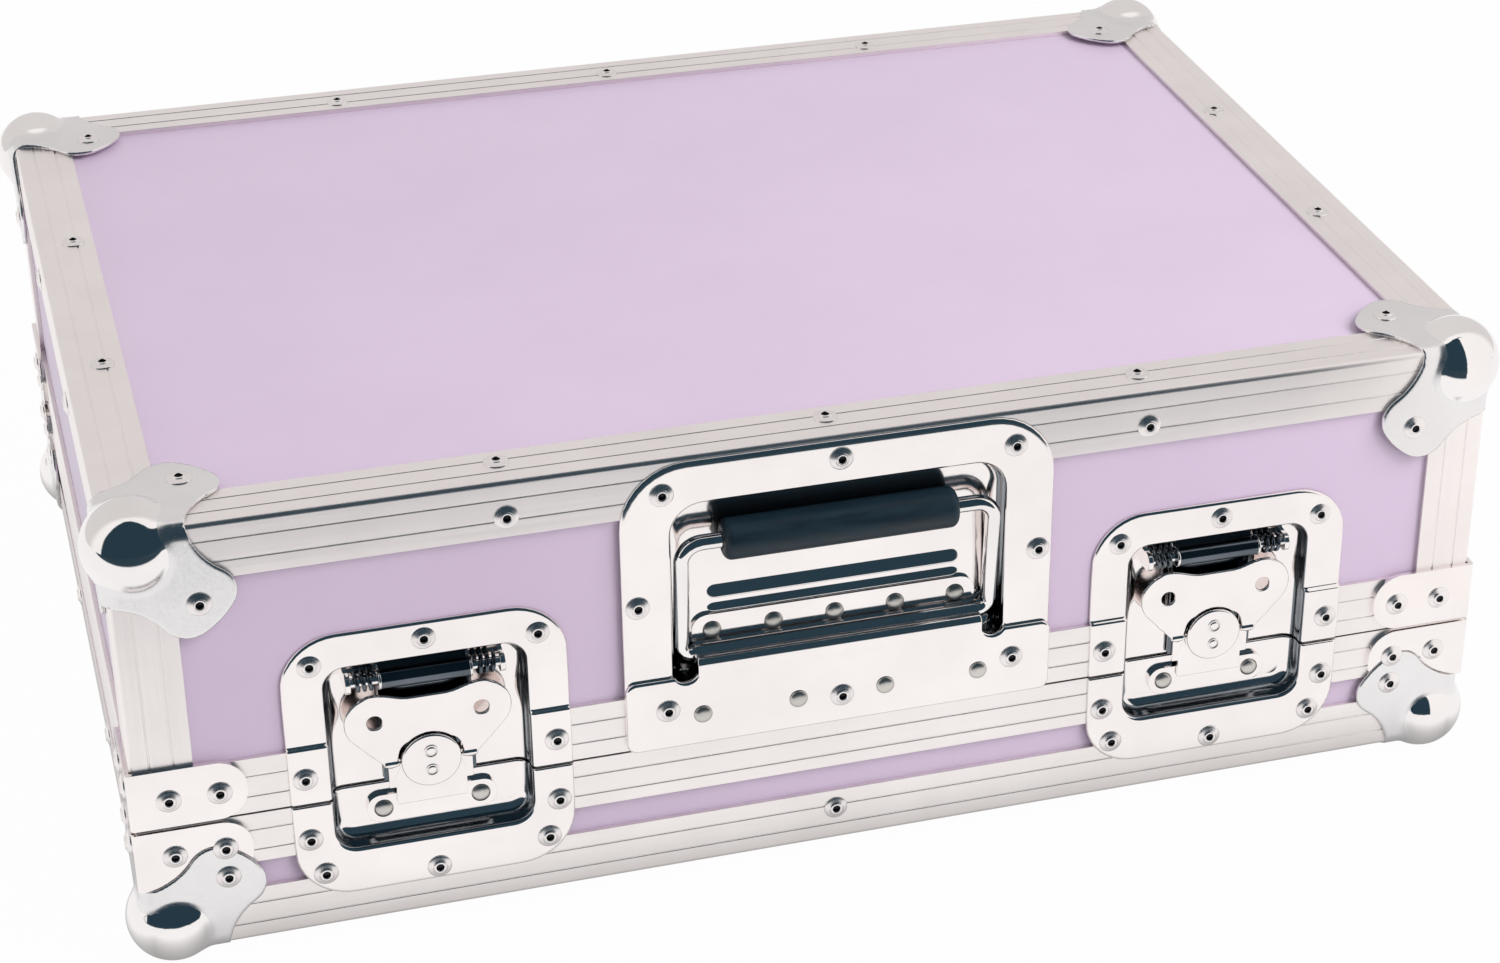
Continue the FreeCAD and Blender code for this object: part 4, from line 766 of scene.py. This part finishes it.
def wing_field(points):
    x, depth, z = points.T
    arm = round_cone(np.abs(x), z, WING_LOBE, WING_FOOT)
    half, low, high = WING_BRIDGE
    bridge = np.maximum(np.abs(x) - half, np.maximum(low - z, z - high))
    outline = smooth_min(arm, bridge, WING_BLEND)
    outline = np.maximum(outline, WING_BAY - np.hypot(x, z - HUB_RISE))
    outline = np.maximum(outline, WING_HOLE - np.hypot(np.abs(x) - WING_LOBE[0], z - WING_LOBE[1]))
    plate = slab(outline, np.abs(depth) - WING_HALF_PLATE, WING_ROUND)
    knuckle = np.maximum(np.hypot(depth, z - HUB_RISE) - KNUCKLE[0],
                         np.abs(np.abs(x) - (WING_BAY + KNUCKLE[1]) / 2) - (KNUCKLE[1] - WING_BAY) / 2)
    return smooth_min(plate, knuckle, KNUCKLE_BLEND)


WING_MESH = surface_of(wing_field, *WING_BOX, WING_STEP)

# rise from the hub's middle and radius of its rivets, and their profile as shares of the radius and heights
HUB_RIVETS = ((4.0, 2.75), (-4.0, 2.5))
HUB_FACE = -0.3
HUB_RIVET = [
    (1.0, -0.1), (1.0, 0.16), (0.95, 0.28), (0.86, 0.3), (0.78, 0.2), (0.74, -0.1), (0.66, -0.1), (0.62, 0.12),
    (0.52, 0.24), (0.3, 0.3), (0.0, 0.32),
]
# rows of a hub rivet's profile, in its ring groove, that get painted shade
HUB_GROOVE_SHADE_ROWS = (4, 7)


def hub_rivets(name, middle, body):
    parts, dark, count = [], [], 0
    for rise, radius in HUB_RIVETS:
        points, faces = lathe([(share * radius, height) for share, height in HUB_RIVET], RIVET_SIDES)
        flat = np.stack([points[:, 0], HUB_RISE + rise + points[:, 1], HUB_FACE + points[:, 2]], axis=-1)
        parts.append((on_front(flat, middle), faces))
        # painted shade in the ring groove
        dark += [count + RIVET_SIDES * row + side for row in range(*HUB_GROOVE_SHADE_ROWS) for side in range(RIVET_SIDES)]
        count += len(faces)
    item = build(name, *join(parts), STEEL, body, "mechanism")
    repaint(item, HOLE, dark)


COLLAR = [(3.7, 0.0), (3.95, 0.1), (3.95, 0.9), (3.7, 1.0)]
COLLAR_X = 16.0
PIN_DEPTH = 3.4


def collars(name, middle, body):
    """Bright rings on the ends of a carrier's barrel."""
    parts = []
    for side in (-1, 1):
        points, faces = lathe(COLLAR, RIVET_SIDES)
        x = middle + side * (COLLAR_X + points[:, 2])
        place = np.stack([x, -HALF_DEPTH + PIN_DEPTH + points[:, 0], SEAM + PIN_RISE + points[:, 1]], axis=-1)
        parts.append((place, faces if side > 0 else [face[::-1] for face in faces]))
    build(name, *join(parts), POLISHED, body, "mechanism")


for side, way in (("left", -1), ("right", 1)):
    points, faces = WING_MESH
    place = np.array([LATCH_X * way, -HALF_DEPTH + WING_DEPTH, SEAM])
    build(f"latch_{side}_finger_wing", points + place, faces, STEEL, f"{side}_wing", "mechanism", f"latch_{side}_wing")
    hub_rivets(f"latch_{side}_hub_rivets", LATCH_X * way, f"{side}_rotor")
    collars(f"latch_{side}_collars", LATCH_X * way, f"{side}_carrier")


# handle dish and strap

HANDLE_HALF = 82.5
HANDLE_LOW = 0.3
HANDLE_HIGH = 119.0
HANDLE_CORNERS = (4.0, 25.0)
LEAST_CORNER = 0.3
RECESS_HALF = 63.5
RECESS_LOW = 26.0
RECESS_HIGH = 101.0
RECESS_CORNERS = (5.5, 12.0)
HANDLE_FLOOR = -8.8
HANDLE_LIP = 2.2
HANDLE_FOOT = 4.0
HANDLE_EDGE = 2.2
# rows of the handle dish's wall, counted from the start of its lip, that get painted shade
HANDLE_WALL_SHADE_ROWS = (4, 10)
RIB_HALF = 48.5
RIB_END = 3.0
# first and last angle and the steps of a rib's rounded end
RIB_END_TURN = (4, 90, 8)
# each rib's rise and its size against the section, which is given as rise and height
RIBS = ((51.7, 0.66), (58.4, 1.0))
RIB_SECTION = [
    (2.8, -0.4), (2.75, 0.0), (2.5, 0.06), (2.3, 0.12), (0.4, 0.76), (-1.5, 1.4), (-1.8, 1.48), (-2.05, 1.5),
    (-2.3, 1.4), (-2.5, 1.15), (-2.6, 0.8), (-2.65, 0.3), (-2.7, -0.1), (-2.7, -0.4),
]


def box_outline(half, low, high, corners, grow):
    """Closed outline of a box with its own radius at the foot and at the head, grown outward."""
    outline = []
    foot, head = (max(corner + grow, LEAST_CORNER) for corner in corners)
    for start, x_way, z, radius, z_way in ((180, -1, low - grow, foot, 1), (270, 1, low - grow, foot, 1),
                                           (0, 1, high + grow, head, -1), (90, -1, high + grow, head, -1)):
        centre = x_way * (half + grow - radius), z + z_way * radius
        outline += [(centre[0] + radius * math.cos(turn), centre[1] + radius * math.sin(turn))
                    for turn in arc(start, start + 90, CORNER_STEPS)]
    return np.array(outline)


def rib(rise, size):
    """A pressed louvre rib on the dish's floor: a long upper slope, a crest and a short fall, with round ends."""
    ends = [RIB_END * (1 - math.cos(turn)) for turn in arc(*RIB_END_TURN)]
    spots = [-RIB_HALF + gap for gap in ends] + [RIB_HALF - gap for gap in ends[::-1]]
    rings = []
    for x in spots:
        lean = max(0.0, (abs(x) - RIB_HALF + RIB_END) / RIB_END)
        share = size * math.sqrt(1 - lean * lean)
        rings.append([(x, rise + share * z, HANDLE_FLOOR + (share * out if out > 0 else out))
                      for z, out in RIB_SECTION])
    return loft(on_front(rings, HANDLE_X), caps=True)


def handle_pressing():
    """The handle's dish: rounded flange, lip, wall and foot round its floor, with two ribs on the floor."""
    outer = (HANDLE_HALF, HANDLE_LOW, HANDLE_HIGH, HANDLE_CORNERS)
    recess = (RECESS_HALF, RECESS_LOW, RECESS_HIGH, RECESS_CORNERS)
    rings = []

    def ring(sizes, grow, height):
        outline = box_outline(*sizes, grow)
        rings.append(np.column_stack([outline, np.full(len(outline), height)]))

    for turn in arc(90, 0, 5):
        ring(outer, HANDLE_EDGE * (math.sin(turn) - 1), SHEET * math.cos(turn))
    ring(outer, -HANDLE_EDGE - HOLD, SHEET)
    ring(recess, HANDLE_LIP + HOLD, SHEET)
    lip = len(rings)
    for turn in arc(0, 90, 6):
        ring(recess, HANDLE_LIP * (1 - math.sin(turn)), SHEET - HANDLE_LIP * (1 - math.cos(turn)))
    for turn in arc(0, 90, 7):
        ring(recess, HANDLE_FOOT * (math.cos(turn) - 1), HANDLE_FLOOR + HANDLE_FOOT * (1 - math.sin(turn)))
    ring(recess, -HANDLE_FOOT - HOLD, HANDLE_FLOOR)
    vertices, faces = loft(on_front(rings, HANDLE_X))
    count = len(rings[-1])
    faces.append([(len(rings) - 1) * count + step for step in range(count)])
    item = build("handle_pressing", vertices, faces, STEEL, "lid", "dish", "handle_dish")
    # painted shade on the recess wall
    repaint(item, WALL_SHADE_STEEL, range((lip + HANDLE_WALL_SHADE_ROWS[0]) * count, (lip + HANDLE_WALL_SHADE_ROWS[1]) * count))
    thicken(item, SHEET - SHEET_GAP)
    build("handle_ribs", *join([rib(*kind) for kind in RIBS]), STEEL, "lid", "dish")


handle_pressing()

STRAP_HIGH = 30.4
STRAP_OUT = (0.3, 3.0)
STRAP_ROUND = 1.3
STRAP_CORNER = 4.0
STRAP_BOX = ((-84.0, -1.6, -0.7), (84.0, 4.0, 38.0))
STRAP_STEP = 0.55
# the notches as x, rise and radius
NOTCH = (59.5, 32.4, 4.5)
LIP_HALF = 55.0
LIP_ROUND = 2.5
LIP_HALF_SHEET = 0.6
LIP_CENTRE = (33.9, -0.1)
LIP_OVERLAP = 2.0
LIP_EDGE = 0.4
LIP_BLEND = 0.6


def strap_field(points):
    """The strap over the dish's lower flange, with half-round notches and a lip rolled over the hinge barrel."""
    x, out, z = np.abs(points[:, 0]), points[:, 1], points[:, 2]
    low, high = HANDLE_LOW, STRAP_HIGH
    sides = np.stack([x - HANDLE_HALF + STRAP_CORNER, np.abs(z - (low + high) / 2) - (high - low) / 2 + STRAP_CORNER])
    outline = np.minimum(sides.max(0), 0) + np.hypot(*np.maximum(sides, 0)) - STRAP_CORNER
    outline = np.maximum(outline, NOTCH[2] - np.hypot(x - NOTCH[0], z - NOTCH[1]))
    back, front = STRAP_OUT
    plate = slab(outline, np.abs(out - (front + back) / 2) - (front - back) / 2, STRAP_ROUND)
    centre_z, centre_out = LIP_CENTRE
    straight = np.hypot(out - centre_out - LIP_ROUND, z - np.clip(z, high - LIP_OVERLAP, centre_z))
    rolled = np.abs(np.hypot(z - centre_z, out - centre_out) - LIP_ROUND)
    rolled = np.where((z > centre_z) & (out > centre_out), rolled, np.hypot(z - centre_z - LIP_ROUND, out - centre_out))
    lip = slab(x - LIP_HALF, np.minimum(straight, rolled) - LIP_HALF_SHEET, LIP_EDGE)
    return smooth_min(plate, lip, LIP_BLEND)


points, faces = surface_of(strap_field, *STRAP_BOX, STRAP_STEP)
place = np.stack([HANDLE_X + points[:, 0], -HALF_DEPTH - points[:, 1], SEAM + points[:, 2]], axis=-1)
build("handle_strap_plate", place, [face[::-1] for face in faces], STEEL, "lid", "dish", "handle_strap")


# foam: pads with rounded edges and slightly drawn-in sides

# inset of the pad's outline and the share of its thickness, from the glued side on
FOAM_SECTION = [
    (1.6, 0.0), (0.5, 0.06), (0.1, 0.18), (0.0, 0.4), (0.1, 0.6), (0.6, 0.78), (1.8, 0.9), (4.5, 0.96), (12.0, 0.99),
    (40.0, 1.0),
]
FOAM_DRAW = 1.2
FOAM_CORNER = 12.0
FOAM_LEAST_CORNER = 2.0
FOAM_CORNER_STEPS = 8
FOAM_SIDE_STEPS = 12


def foam_pad(name, node, body, way):
    """A pad in its CAD solid's place, flat where it is glued and crowned on its free side."""
    low, high = solids_of(node)[0]
    half = (high - low) / 2
    centre = (low + high) / 2
    outlines = []
    for inset, share in FOAM_SECTION:
        corner = max(FOAM_CORNER - inset, FOAM_LEAST_CORNER)
        corners = [(x_way * (half[0] - inset - corner) + corner * math.cos(turn),
                    y_way * (half[1] - inset - corner) + corner * math.sin(turn))
                   for start, x_way, y_way in ((180, -1, -1), (270, 1, -1), (0, 1, 1), (90, -1, 1))
                   for turn in arc(start, start + 90, FOAM_CORNER_STEPS)]
        outline = []
        for index, spot in enumerate(corners):
            outline.append(spot)
            if index % (FOAM_CORNER_STEPS + 1) == FOAM_CORNER_STEPS:
                after = corners[(index + 1) % len(corners)]
                middle = (np.array(spot) + after) / 2
                for step in range(1, FOAM_SIDE_STEPS):
                    part = step / FOAM_SIDE_STEPS
                    place = np.array(spot) * (1 - part) + np.array(after) * part
                    pull = FOAM_DRAW * math.sin(math.pi * part) * middle / np.linalg.norm(middle)
                    outline.append(tuple(place - pull))
        level = (low if way > 0 else high)[2] + way * share * 2 * half[2]
        outlines.append([(centre[0] + x, centre[1] + y, level) for x, y in outline])
    vertices, faces = loft(outlines, caps=True)
    item = build(name, vertices, faces if way > 0 else [face[::-1] for face in faces], FOAM, body, "foam", node)


foam_pad("lid_foam_pad", "lid_foam", "lid", -1)
foam_pad("base_foam_pad", "base_foam", "base", 1)


# stage, light and camera

# the studio that shows in metal: a white tent, open and dark to the front, whose floor ends some way ahead
STUDIO_DARK = (0.020, 0.045, 0.065, 1.0)
STUDIO_WHITE = (1.0, 0.985, 0.975, 1.0)
STUDIO_BACK = (0.74, 0.725, 0.72, 1.0)
FRONT = (0.0, -1.0, 0.0)
# how far a direction turns to the front, from 0 for the back to 1, and the studio's colour there
STUDIO = ((0.35, STUDIO_BACK), (0.475, STUDIO_WHITE), (0.655, STUDIO_WHITE), (0.675, STUDIO_DARK))
# the opening reaches further up and down than to the sides
OPENING_SCALE = (1.0, 1.0, 0.3)
# what lights surfaces that aren't mirrors, from all round
AMBIENT = 0.64
FLOOR_REACH = 6.0
FLOOR_DROP = -0.0002
FLOOR_GREY = (0.50, 0.50, 0.50, 1.0)
FLOOR_ROUGH = 0.9
# how much of the floor is plain white where the camera or a mirror sees it; the rest keeps the case's shadow
FLOOR_GLOW = 0.98
# distances ahead between which the floor goes dark in mirrors
FLOOR_END = (0.54, 0.64)
# half length and depth of the floor under the case, and how far and how much it darkens beside it in mirrors: a painted
# contact shadow
CASE_FOOT = (0.25, 0.175, 0.0)
FLOOR_PAINTED_SHADOW = (0.055, 0.35)
TENT_FRONT = -0.29
TENT_HIGH = 1.0
TENT_WALL = (0.26, 1.1)
WHITE = (1.0, 1.0, 1.0, 1.0)
LAMP_AIM = (0.0, 0.0, 0.1)
# each lamp's name, place, size and power
LAMPS = (
    ("key", (1.5, -1.1, 1.9), 1.6, 50.0),
    ("fill", (0.9, -1.3, 0.5), 0.8, 5.0),
    ("back_fill", (0.0, 1.8, 0.2), 0.8, 10.0),
    ("left_fill", (-1.9, 0.0, 0.2), 0.8, 10.0),
)


def card(name, corners, material):
    """One flat face for the stage."""
    mesh = bpy.data.meshes.new(name)
    mesh.from_pydata(corners, [], [(0, 1, 2, 3)])
    mesh.materials.append(material)
    item = bpy.data.objects.new(name, mesh)
    bpy.context.scene.collection.objects.link(item)
    return item


def floor():
    """White to the camera; in mirrors it ends some way ahead and shows a painted contact shadow beside the case."""
    material, tree, shader = new_material("floor_white")
    shader.inputs["Base Color"].default_value = FLOOR_GREY
    shader.inputs["Roughness"].default_value = FLOOR_ROUGH
    path = add(tree, "ShaderNodeLightPath").outputs
    place = add(tree, "ShaderNodeNewGeometry").outputs["Position"]
    ahead = combine(tree, "ShaderNodeVectorMath", "DOT_PRODUCT", place, FRONT)
    far = add(tree, "ShaderNodeMapRange", {"interpolation_type": "SMOOTHSTEP"}, Value=ahead, From_Min=FLOOR_END[0],
              From_Max=FLOOR_END[1])
    mirrored = combine(tree, "ShaderNodeMath", "MULTIPLY", far.outputs["Result"], path["Is Glossy Ray"])
    away = combine(tree, "ShaderNodeVectorMath", "ABSOLUTE", place)
    past = combine(tree, "ShaderNodeVectorMath", "SUBTRACT", away, CASE_FOOT)
    sides = add(tree, "ShaderNodeSeparateXYZ", Vector=past).outputs
    gap = combine(tree, "ShaderNodeMath", "MAXIMUM", sides["X"], sides["Y"])
    # painted shadow: the floor that mirrors see grows darker near the case
    light = add(tree, "ShaderNodeMapRange", {"interpolation_type": "SMOOTHSTEP"}, Value=gap, From_Min=0.0,
                From_Max=FLOOR_PAINTED_SHADOW[0], To_Min=FLOOR_PAINTED_SHADOW[1], To_Max=1.0)
    shade = add(tree, "ShaderNodeValToRGB", Fac=mirrored)
    for stop, colour in zip(shade.color_ramp.elements, (WHITE, STUDIO_DARK)):
        stop.color = colour
    near = add(tree, "ShaderNodeMix", {"data_type": "FLOAT"}, Factor=path["Is Glossy Ray"], A=1.0,
               B=light.outputs["Result"])
    glow = add(tree, "ShaderNodeEmission", Color=shade.outputs["Color"], Strength=near.outputs["Result"])
    seen = combine(tree, "ShaderNodeMath", "MAXIMUM", path["Is Camera Ray"], path["Is Glossy Ray"])
    share = combine(tree, "ShaderNodeMath", "MULTIPLY", seen, FLOOR_GLOW)
    whole = mix_shaders(tree, share, shader.outputs["BSDF"], glow.outputs["Emission"])
    tree.links.new(whole, tree.nodes["Material Output"].inputs["Surface"])
    reach = FLOOR_REACH
    item = card("floor", [(-reach, -reach, 0), (reach, -reach, 0), (reach, reach, 0), (-reach, reach, 0)], material)
    item.location.z = FLOOR_DROP


def tent_wall(name, start, stop):
    """A white card beside the tent's opening, which only reflections see."""
    material, tree, _ = new_material(name)
    glow = add(tree, "ShaderNodeEmission", Color=STUDIO_WHITE, Strength=1.0)
    tree.links.new(glow.outputs["Emission"], tree.nodes["Material Output"].inputs["Surface"])
    item = card(name, [(start, TENT_FRONT, 0.0), (stop, TENT_FRONT, 0.0), (stop, TENT_FRONT, TENT_HIGH),
                       (start, TENT_FRONT, TENT_HIGH)], material)
    for kind in ("camera", "diffuse", "transmission", "volume_scatter", "shadow"):
        setattr(item, f"visible_{kind}", False)


def studio():
    """The world: the tent for mirrors, white for the camera and an even light for everything else."""
    world = bpy.data.worlds.new("studio")
    bpy.context.scene.world = world
    world.use_nodes = True
    tree = world.node_tree
    tree.nodes.clear()
    place = add(tree, "ShaderNodeTexCoord").outputs["Generated"]
    flat = combine(tree, "ShaderNodeVectorMath", "MULTIPLY", place, OPENING_SCALE)
    way = combine(tree, "ShaderNodeVectorMath", "NORMALIZE", flat)
    facing = combine(tree, "ShaderNodeVectorMath", "DOT_PRODUCT", way, FRONT)
    level = add(tree, "ShaderNodeMapRange", Value=facing, From_Min=-1.0, From_Max=1.0)
    sky = add(tree, "ShaderNodeValToRGB", Fac=level.outputs["Result"])
    stops = sky.color_ramp.elements
    while len(stops) < len(STUDIO):
        stops.new(1.0)
    for stop, (position, colour) in zip(stops, STUDIO):
        stop.position = position
        stop.color = colour
    mirrored = add(tree, "ShaderNodeBackground", Color=sky.outputs["Color"], Strength=1.0)
    plain = add(tree, "ShaderNodeBackground", Strength=AMBIENT)
    white = add(tree, "ShaderNodeBackground", Color=WHITE, Strength=1.0)
    path = add(tree, "ShaderNodeLightPath").outputs
    glossy = mix_shaders(tree, path["Is Glossy Ray"], plain.outputs[0], mirrored.outputs[0])
    seen = mix_shaders(tree, path["Is Camera Ray"], glossy, white.outputs[0])
    add(tree, "ShaderNodeOutputWorld", Surface=seen)


def lamp(name, place, size, power):
    light = bpy.data.lights.new(name, "AREA")
    light.size = size
    light.energy = power
    item = bpy.data.objects.new(name, light)
    item.location = place
    item.rotation_euler = (Vector(LAMP_AIM) - Vector(place)).to_track_quat("-Z", "Y").to_euler()
    item.visible_glossy = False
    bpy.context.scene.collection.objects.link(item)


# the photograph's camera: place in metres, angles in degrees, focal length and principal point in pixels
CAMERA_PLACE = Vector((-0.3025, -1.1903, 0.7430))
CAMERA_AZIMUTH = math.radians(17.9)
CAMERA_FALL = math.radians(29.73)
CAMERA_ROLL = math.radians(0.71)
IMAGE_SIZE = (1500.0, 963.0)
FOCAL = 3312.2
PRINCIPAL = (893.1, 529.3)
SENSOR = 36.0
CLIP_START = 0.05


def camera():
    data = bpy.data.cameras.new("camera")
    data.sensor_fit = "HORIZONTAL"
    data.sensor_width = SENSOR
    data.lens = FOCAL / IMAGE_SIZE[0] * SENSOR
    data.shift_x = (IMAGE_SIZE[0] / 2 - PRINCIPAL[0]) / IMAGE_SIZE[0]
    data.shift_y = (PRINCIPAL[1] - IMAGE_SIZE[1] / 2) / IMAGE_SIZE[0]
    data.clip_start = CLIP_START
    forward = Vector((
        math.sin(CAMERA_AZIMUTH) * math.cos(CAMERA_FALL),
        math.cos(CAMERA_AZIMUTH) * math.cos(CAMERA_FALL),
        -math.sin(CAMERA_FALL),
    ))
    level = Vector((math.cos(CAMERA_AZIMUTH), -math.sin(CAMERA_AZIMUTH), 0.0))
    upright = level.cross(forward)
    right = level * math.cos(CAMERA_ROLL) + upright * math.sin(CAMERA_ROLL)
    up = upright * math.cos(CAMERA_ROLL) - level * math.sin(CAMERA_ROLL)
    item = bpy.data.objects.new("camera", data)
    turn = Matrix((right, up, -forward)).transposed().to_4x4()
    item.matrix_world = Matrix.Translation(CAMERA_PLACE) @ turn
    bpy.context.scene.collection.objects.link(item)
    bpy.context.scene.camera = item


floor()
tent_wall("tent_wall_0", *TENT_WALL)
studio()
for kind in LAMPS:
    lamp(*kind)
camera()
bpy.context.scene.view_settings.view_transform = "Standard"
